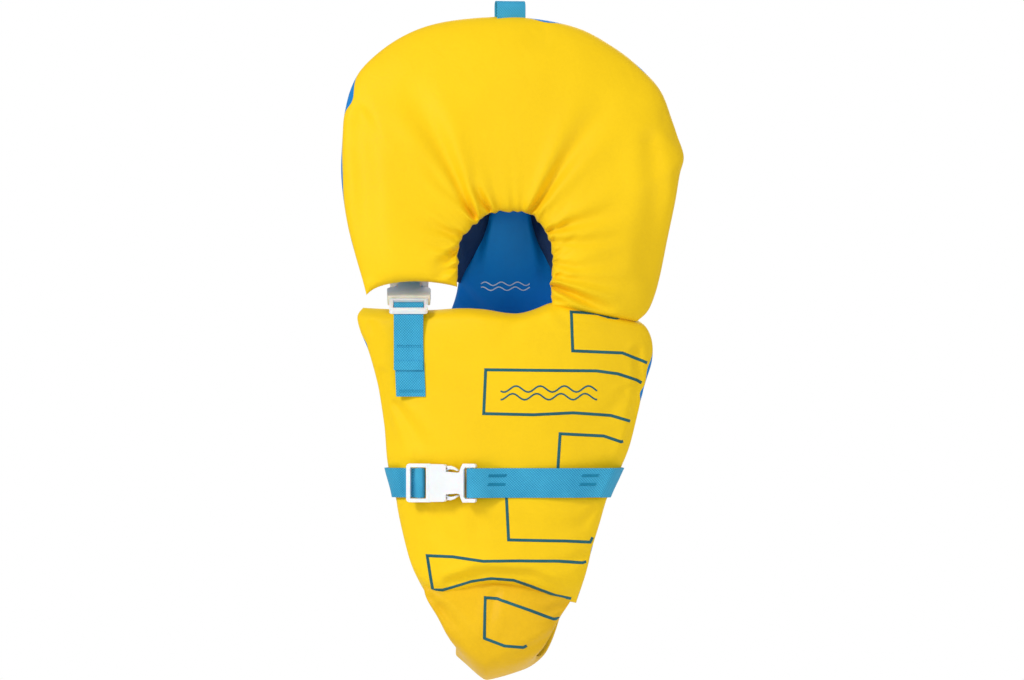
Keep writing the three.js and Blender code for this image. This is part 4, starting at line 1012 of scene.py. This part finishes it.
# How the belt's sewn end turns round the socket's bar, as [u, w].
BAR_TURN = [
    (34, 0.9), (29.2, 3.1), (26.4, 2.9), (23.6, 3.7), (22.7, 5.5), (23.6, 7.3), (26.2, 8.1), (29, 7.6), (35, 4.6),
]
under_x = at_u[:2, None] + 0 * rise
under = run_over(chest_relief, under_x, line_z[None] + 0 * under_x, 0.7)
turn_part = np.stack([waist.place(u, across_web, w) for u, w in BAR_TURN])
over_x = at_u[1:4, None] + 0 * rise
over = run_over(chest_relief, over_x, line_z[None] + 0 * over_x, 2.2)
belt_run = np.concatenate([
    under, turn_part, over[1:2],
    belt_stretch(at_u[4], chest_right_x[None] - 6, 40, chest_relief, 0.75),
    belt_side(chest_right_x, back_right_x, 1),
    belt_stretch(back_right_x[None] - 6, -back_right_x[None] + 6, 40, back_relief, 0.75),
    belt_side(chest_left_x, -back_right_x, -1)[::-1],
    belt_stretch(chest_left_x[None] + 6, -57 + waist.along[0] * -33.0, 5, chest_relief, 0.75),
    np.stack([waist.place(u, across_web, w) for u, w in ((-27, 0.9), (-22, 1.1), (-15, 1.1))]),
])
belt_grid = webbing("waist_belt_webbing", belt_run, "jacket", "waist_belt")

# How webbing folds over a plug's ladder bar, as [u, w].
FOLD = [
    (-25, 2.6), (-23.6, 2.9), (-22.5, 4.4), (-22.1, 6.2), (-20.8, 7.6), (-19, 7.9), (-17.2, 7.6), (-15.9, 6.2),
    (-15.5, 4.4), (-15.4, 2.8),
]
webbing("waist_fold", np.stack([waist.place(u, across_web, w) for u, w in FOLD]), "waist_male", "waist_belt_fold")


def strap_run(below, height):
    """Webbing laid down the chest from the shoulder buckle, at distances below the panel's top edge."""
    xs = -86 - across_web[None, :] + 0 * below[:, None]
    zs = -264 - below[:, None] + 0 * xs
    return run_over(chest_relief, xs, zs, height)


# The sewn length lies 2 mm nearer the middle at its lower end, and proud of the cloth there.
lower_end_shift = np.array([2.0, -1.4, 0]) * np.linspace(1, 0, 14)[:, None, None]
strap_front = np.concatenate([
    strap_run(np.linspace(73, 26, 14), 0.75) + lower_end_shift,
    np.stack([shoulder.place(u, across_web, w) for u, w in ((-27, 0.6), (-22, 1.1), (-15, 1.1))]),
])
strap_grid = webbing("shoulder_strap_webbing", strap_front, "jacket", "shoulder_strap_front")
strap_tail = np.concatenate([
    strap_run(np.linspace(50, 26, 9), 2.15),
    np.stack([shoulder.place(u, across_web, w) for u, w in ((-29, 2.2), *FOLD)]),
])
tail_grid = webbing("shoulder_tail_webbing", strap_tail, "shoulder_male", "shoulder_strap_tail")
hem = strap_run(np.linspace(50.5, 43, 4), 3.45)
webbing("shoulder_tail_hem", hem, "shoulder_male")

bar_middle = shoulder.place(26.0, 0.0, 5.5)
leg_x = -86 - across_web
leg_points = []
for z, height in ((-222, 0.9), (-228, 0.9), (-234, 0.9)):
    leg_y = float(collar_middle(-86, z)) + 15.0 + height
    leg_points.append(np.stack([leg_x, np.full(WEB_PLACES, leg_y), np.full(WEB_PLACES, float(z))], 1))
around_bar = []
for angle in np.radians([170, 210, 250, 290, 330, 370]):
    turn_y, turn_z = bar_middle[1] + 2.8 * math.cos(angle), bar_middle[2] + 2.8 * math.sin(angle)
    around_bar.append(np.stack([leg_x, np.full(WEB_PLACES, turn_y), np.full(WEB_PLACES, turn_z)], 1))
back_up = [points + np.array([0, 2.6, 0]) for points in leg_points[1:][::-1]]
webbing("shoulder_rear_webbing", leg_points + around_bar + back_up, "jacket", "shoulder_strap_rear")

keeper_rear = float(back_relief(0.0, BELT_Z))
keeper = [(22.5, 0.7), (16, 0.8), (13.8, 2.2), (0, 2.6), (-13.8, 2.2), (-16, 0.8), (-22.5, 0.7)]
keeper_run = np.stack([
    np.stack([across_web, np.full(WEB_PLACES, keeper_rear + 0.6 + height), np.full(WEB_PLACES, BELT_Z + up)], 1)
    for up, height in keeper])
webbing("belt_keeper_webbing", keeper_run, "jacket", "belt_keeper")

# The grab loop is one turn of webbing whose ends are sewn into the collar's top seam, a little askew.
loop_angle = np.linspace(-math.pi / 2, 1.5 * math.pi, 25)
loop_y = 4.5 * np.sign(np.cos(loop_angle)) * np.abs(np.cos(loop_angle)) ** 0.75
loop_z = 6.1 * np.sign(np.sin(loop_angle)) * np.abs(np.sin(loop_angle)) ** 0.75 - 5.5
loop_z = np.where(loop_z < -8, loop_z - 4.5, loop_z)
skew = math.radians(13)
turn_cos, turn_sin = math.cos(skew), math.sin(skew)
loop_run = np.stack([
    np.stack([across_web * turn_cos - y * turn_sin, across_web * turn_sin + y * turn_cos, np.full(WEB_PLACES, z)], 1)
    for y, z in zip(loop_y, loop_z)])
webbing("grab_loop_webbing", loop_run, "jacket", "grab_loop")


# ---- Stitching ----
# Short raised stitches in darker thread: two bar tacks at each end of the sewn belt, and double rows across the
# shoulder strap and its adjusting fold.

thread = woven_material(
    "teal thread", (0.006, 0.2, 0.37), (0.01, 0.28, 0.46), 0.0003, 0.0003, 0.6, 0.00004, 40.0)
stitch_turn = np.linspace(0, 2 * math.pi, 7)[:-1]
stitch_lengths = np.array([-0.5, -0.3, 0.3, 0.5])
stitch_girths = np.array([0.25, 1.0, 1.0, 0.25])


def stitches(name, places, along, out, length, girth, body):
    """One capsule for each place, drawn out along the thread: rings of six points at four stations. All sizes are in
    millimetres."""
    along = along / np.linalg.norm(along, axis=-1, keepdims=True)
    side = np.cross(out, along)
    side /= np.linalg.norm(side, axis=-1, keepdims=True)
    up = np.cross(along, side)
    round_side = np.cos(stitch_turn)[None, :, None] * side[:, None, None]
    round_up = np.sin(stitch_turn)[None, :, None] * up[:, None, None]
    ring = stitch_girths[:, None, None] * girth / 2 * (round_side + round_up)
    points = places[:, None, None] + stitch_lengths[:, None, None] * length * along[:, None, None] + ring
    count = len(places)
    index = np.arange(count * 24).reshape(count, 4, 6)
    walls = np.stack(
        [index[:, :-1], np.roll(index[:, :-1], -1, 2), np.roll(index[:, 1:], -1, 2), index[:, 1:]], -1)
    caps = np.concatenate([index[:, 0, ::-1], index[:, 3]])
    mesh = bpy.data.meshes.new(name)
    mesh.from_pydata((points.reshape(-1, 3) * MM).tolist(), [], walls.reshape(-1, 4).tolist() + caps.tolist())
    mesh.polygons.foreach_set("use_smooth", np.ones(len(mesh.polygons), bool))
    mesh.materials.append(thread)
    made = bpy.data.objects.new(name, mesh)
    bpy.context.scene.collection.objects.link(made)
    dress(made, body, "webbing")


def on_web(grid, along_at, across_at, up):
    """Places on a strip's outer face: along and across are grid positions, with the way along and outward there."""
    i = np.clip(along_at, 0, len(grid) - 1.001)
    j = np.interp(across_at, across_web, np.arange(float(WEB_PLACES)))
    j = np.clip(j, 0, WEB_PLACES - 1.001)
    a, b = i.astype(int), j.astype(int)
    p, q = (i - a)[:, None], (j - b)[:, None]
    near = grid[a, b] * (1 - p) + grid[a + 1, b] * p
    far = grid[a, b + 1] * (1 - p) + grid[a + 1, b + 1] * p
    middle = near * (1 - q) + far * q
    along = grid[a + 1, WEB_MIDDLE] - grid[a, WEB_MIDDLE]
    across = grid[a, -1] - grid[a, 0]
    out = np.cross(along, across)
    out /= np.linalg.norm(out, axis=1, keepdims=True)
    out *= np.sign((out * up).sum(1, keepdims=True))
    along /= np.linalg.norm(along, axis=1, keepdims=True)
    across /= np.linalg.norm(across, axis=1, keepdims=True)
    return middle + out * (WEB_THICK / 2 + 0.08), along, across, out


front_way = np.array([[0.0, -1.0, 0.0]])
belt_x = belt_grid[:, WEB_MIDDLE, 0]
on_front = (belt_grid[:, WEB_MIDDLE, 1] < -55) & (np.arange(len(belt_grid)) > 25) & (belt_x > -20)
front_rows = np.flatnonzero(on_front)
for number, (x_from, x_to) in enumerate(((-19, -4), (59.5, 73))):
    for row, height in enumerate((6.2, -1.2)):
        xs = np.arange(x_from, x_to, 0.55)
        at = np.interp(xs, belt_x[front_rows], front_rows.astype(float))
        places, along, across, out = on_web(belt_grid, at, np.full(len(xs), height), front_way)
        tilt = along * 0.35 + across
        stitches(f"belt_bar_tack_{number}{row}", places, tilt, out, 2.9, 0.6, "jacket")


def stitched_row(name, grid, at_z, body):
    """A row of stitches straight across a strip that hangs down, at one height."""
    heights = grid[: len(grid) // 2, WEB_MIDDLE, 2]
    rising = np.argsort(heights, kind="stable")
    at = np.interp(at_z, heights[rising], rising.astype(float))
    xs = np.arange(-10.2, 10.3, 1.5)
    places, along, across, out = on_web(grid, np.full(len(xs), at), xs, front_way)
    stitches(name, places, across, out, 1.3, 0.62, body)


stitched_row("tail_stitches", tail_grid, -293.5, "shoulder_male")
stitched_row("tail_stitches_low", tail_grid, -294.9, "shoulder_male")
stitched_row("anchor_stitches", strap_grid, -331.5, "jacket")
stitched_row("anchor_stitches_low", strap_grid, -333.0, "jacket")


# ---- Printed outlines ----
# Dark teal ink, printed on the chest cover and crotch cloth: open boxes with a line 2.5 mm wide, and a plain pair of
# waves where a maker would put its name.

ink = woven_material(
    "teal ink", (0.009, 0.095, 0.12), (0.016, 0.14, 0.165), 0.0005, 0.0005, 0.45, 0.00002, 40.0)
crotch_relief = Relief(crotch_out + shift, -1)


def printed_line(name, points, relief, target, width=2.5, finish=ink, slot="yellow_nylon"):
    """A thin strip along a line of [x, z], mitred at its corners: each side is the line moved along the mean of the
    two normals there, divided by the cosine of half the turn. It is laid on the face of the target."""
    line = np.array(points, float)
    steps = np.diff(line, axis=0)
    lengths = np.linalg.norm(steps, axis=1)
    normals = np.stack([-steps[:, 1], steps[:, 0]], 1) / lengths[:, None]
    mean = np.vstack([normals[:1], normals[:-1] + normals[1:], normals[-1:]])
    mean /= np.linalg.norm(mean, axis=1, keepdims=True)
    cosine = np.concatenate([[1], (mean[1:-1] * normals[1:]).sum(1), [1]])
    offset = mean / cosine[:, None] * width / 2
    along = np.concatenate([[0], np.cumsum(lengths)])
    wanted = np.unique(np.concatenate([np.arange(0, along[-1], 1.2), along]))
    middle = np.stack([np.interp(wanted, along, line[:, k]) for k in range(2)], 1)
    aside = np.stack([np.interp(wanted, along, offset[:, k]) for k in range(2)], 1)
    turned = np.clip(np.searchsorted(along, wanted, side="right") - 1, 0, len(normals) - 1)
    corner = np.isin(wanted, along)
    aside = np.where(corner[:, None], aside, normals[turned] * width / 2)
    across = np.linspace(-1, 1, 4)
    xz = middle[:, None] + across[None, :, None] * aside[:, None]
    y = relief(xz[..., 0], xz[..., 1]) - 0.4
    grid = np.stack([xz[..., 0], y, xz[..., 1]], 2) * MM
    rows = len(grid)
    index = np.arange(rows * 4).reshape(rows, 4)
    faces = np.stack([index[:-1, :-1], index[:-1, 1:], index[1:, 1:], index[1:, :-1]], 2).reshape(-1, 4)
    mesh = bpy.data.meshes.new(name)
    mesh.from_pydata(grid.reshape(-1, 3).tolist(), [], faces.tolist())
    if np.mean([polygon.normal.y for polygon in mesh.polygons]) > 0:
        mesh.flip_normals()
    down, aside = np.broadcast_arrays(wanted[:, None], across[None] * width / 2)
    place = np.stack([down, aside], 2) * MM
    corner_index = np.empty(len(mesh.loops), int)
    mesh.loops.foreach_get("vertex_index", corner_index)
    mesh.uv_layers.new(name="cloth").data.foreach_set("uv", place.reshape(-1, 2)[corner_index].ravel())
    mesh.polygons.foreach_set("use_smooth", np.ones(len(mesh.polygons), bool))
    mesh.materials.append(finish)
    made = bpy.data.objects.new(name, mesh)
    bpy.context.scene.collection.objects.link(made)
    laid = made.modifiers.new("Shrinkwrap", "SHRINKWRAP")
    laid.target = target
    laid.wrap_method = "NEAREST_SURFACEPOINT"
    laid.wrap_mode = "ABOVE_SURFACE"
    laid.offset = 0.14 * MM
    film = made.modifiers.new("Solidify", "SOLIDIFY")
    film.thickness = 0.12 * MM
    film.offset = -1
    bpy.context.view_layer.update()
    shown = made.evaluated_get(bpy.context.evaluated_depsgraph_get())
    made.data = bpy.data.meshes.new_from_object(shown)
    made.data.name = name
    made.modifiers.clear()
    dress(made, "jacket", slot)


PRINT = {
    "shoulder_box": [
        (104.5, -268.5), (100, -267.5), (91, -270), (83.7, -269), (73.6, -266), (52, -264.8), (53.2, -298.2),
        (95.7, -300), (117, -308.5),
    ],
    "upper_box": [
        (112, -325.5), (108, -323), (91.7, -317.7), (73.6, -315.2), (-20.6, -314.2), (-22.3, -351.3),
        (19.6, -352.3), (53.5, -350.7), (85.7, -353), (102.5, -358),
    ],
    "middle_box": [(96.5, -375), (94.7, -375.5), (79.6, -370.4), (42.5, -368.4), (40.6, -398.5)],
    "lower_box": [(-3.1, -420), (-1.2, -458.2), (47.6, -459.3), (68.5, -460.5), (70.5, -456.5)],
    "foot_box": [
        (65, -477), (62, -477.8), (39.5, -476.3), (7.5, -475.9), (-22.6, -476.3), (-48.7, -472.6), (-70.4, -471.9),
        (-65.8, -501.5), (-57, -501.5), (-33, -494), (-16, -491.5), (3, -493), (17, -498), (38, -506), (52, -509),
    ],
}
for name, points in PRINT.items():
    printed_line(f"print_{name}", points, chest_relief, chest_front_piece)
printed_line("print_crotch_box", [
    (43.5, -525.4), (37.6, -526), (17.5, -518.4), (-10.6, -508.4), (-21, -507.4), (-21.6, -542), (-4.7, -548.5),
    (11.5, -550.1), (14.5, -548.5),
], crotch_relief, crotch_piece)

wave_x = np.linspace(-8, 74, 42)
for number, (level, size) in enumerate(((-330.5, 2.6), (-337.0, 2.6))):
    wave = np.stack([wave_x, level + size * np.sin(wave_x / 82 * 8 * math.pi + number * 0.9)], 1)
    printed_line(f"print_wave_{number}", wave, chest_relief, chest_front_piece, width=1.4)

white_ink = woven_material(
    "white ink", (0.62, 0.68, 0.74), (0.8, 0.84, 0.88), 0.0005, 0.0005, 0.45, 0.00002, 40.0)
tongue_relief = Relief(back_front, -1)
tongue_x = np.linspace(-25, 17, 26)
for number, level in enumerate((-241.0, -245.2)):
    wave = np.stack([tongue_x, level + 1.5 * np.sin((tongue_x + 25) / 42 * 6 * math.pi + number * 0.9)], 1)
    printed_line(
        f"print_tongue_wave_{number}", wave, tongue_relief, back_panel, width=0.9, finish=white_ink,
        slot="blue_nylon")
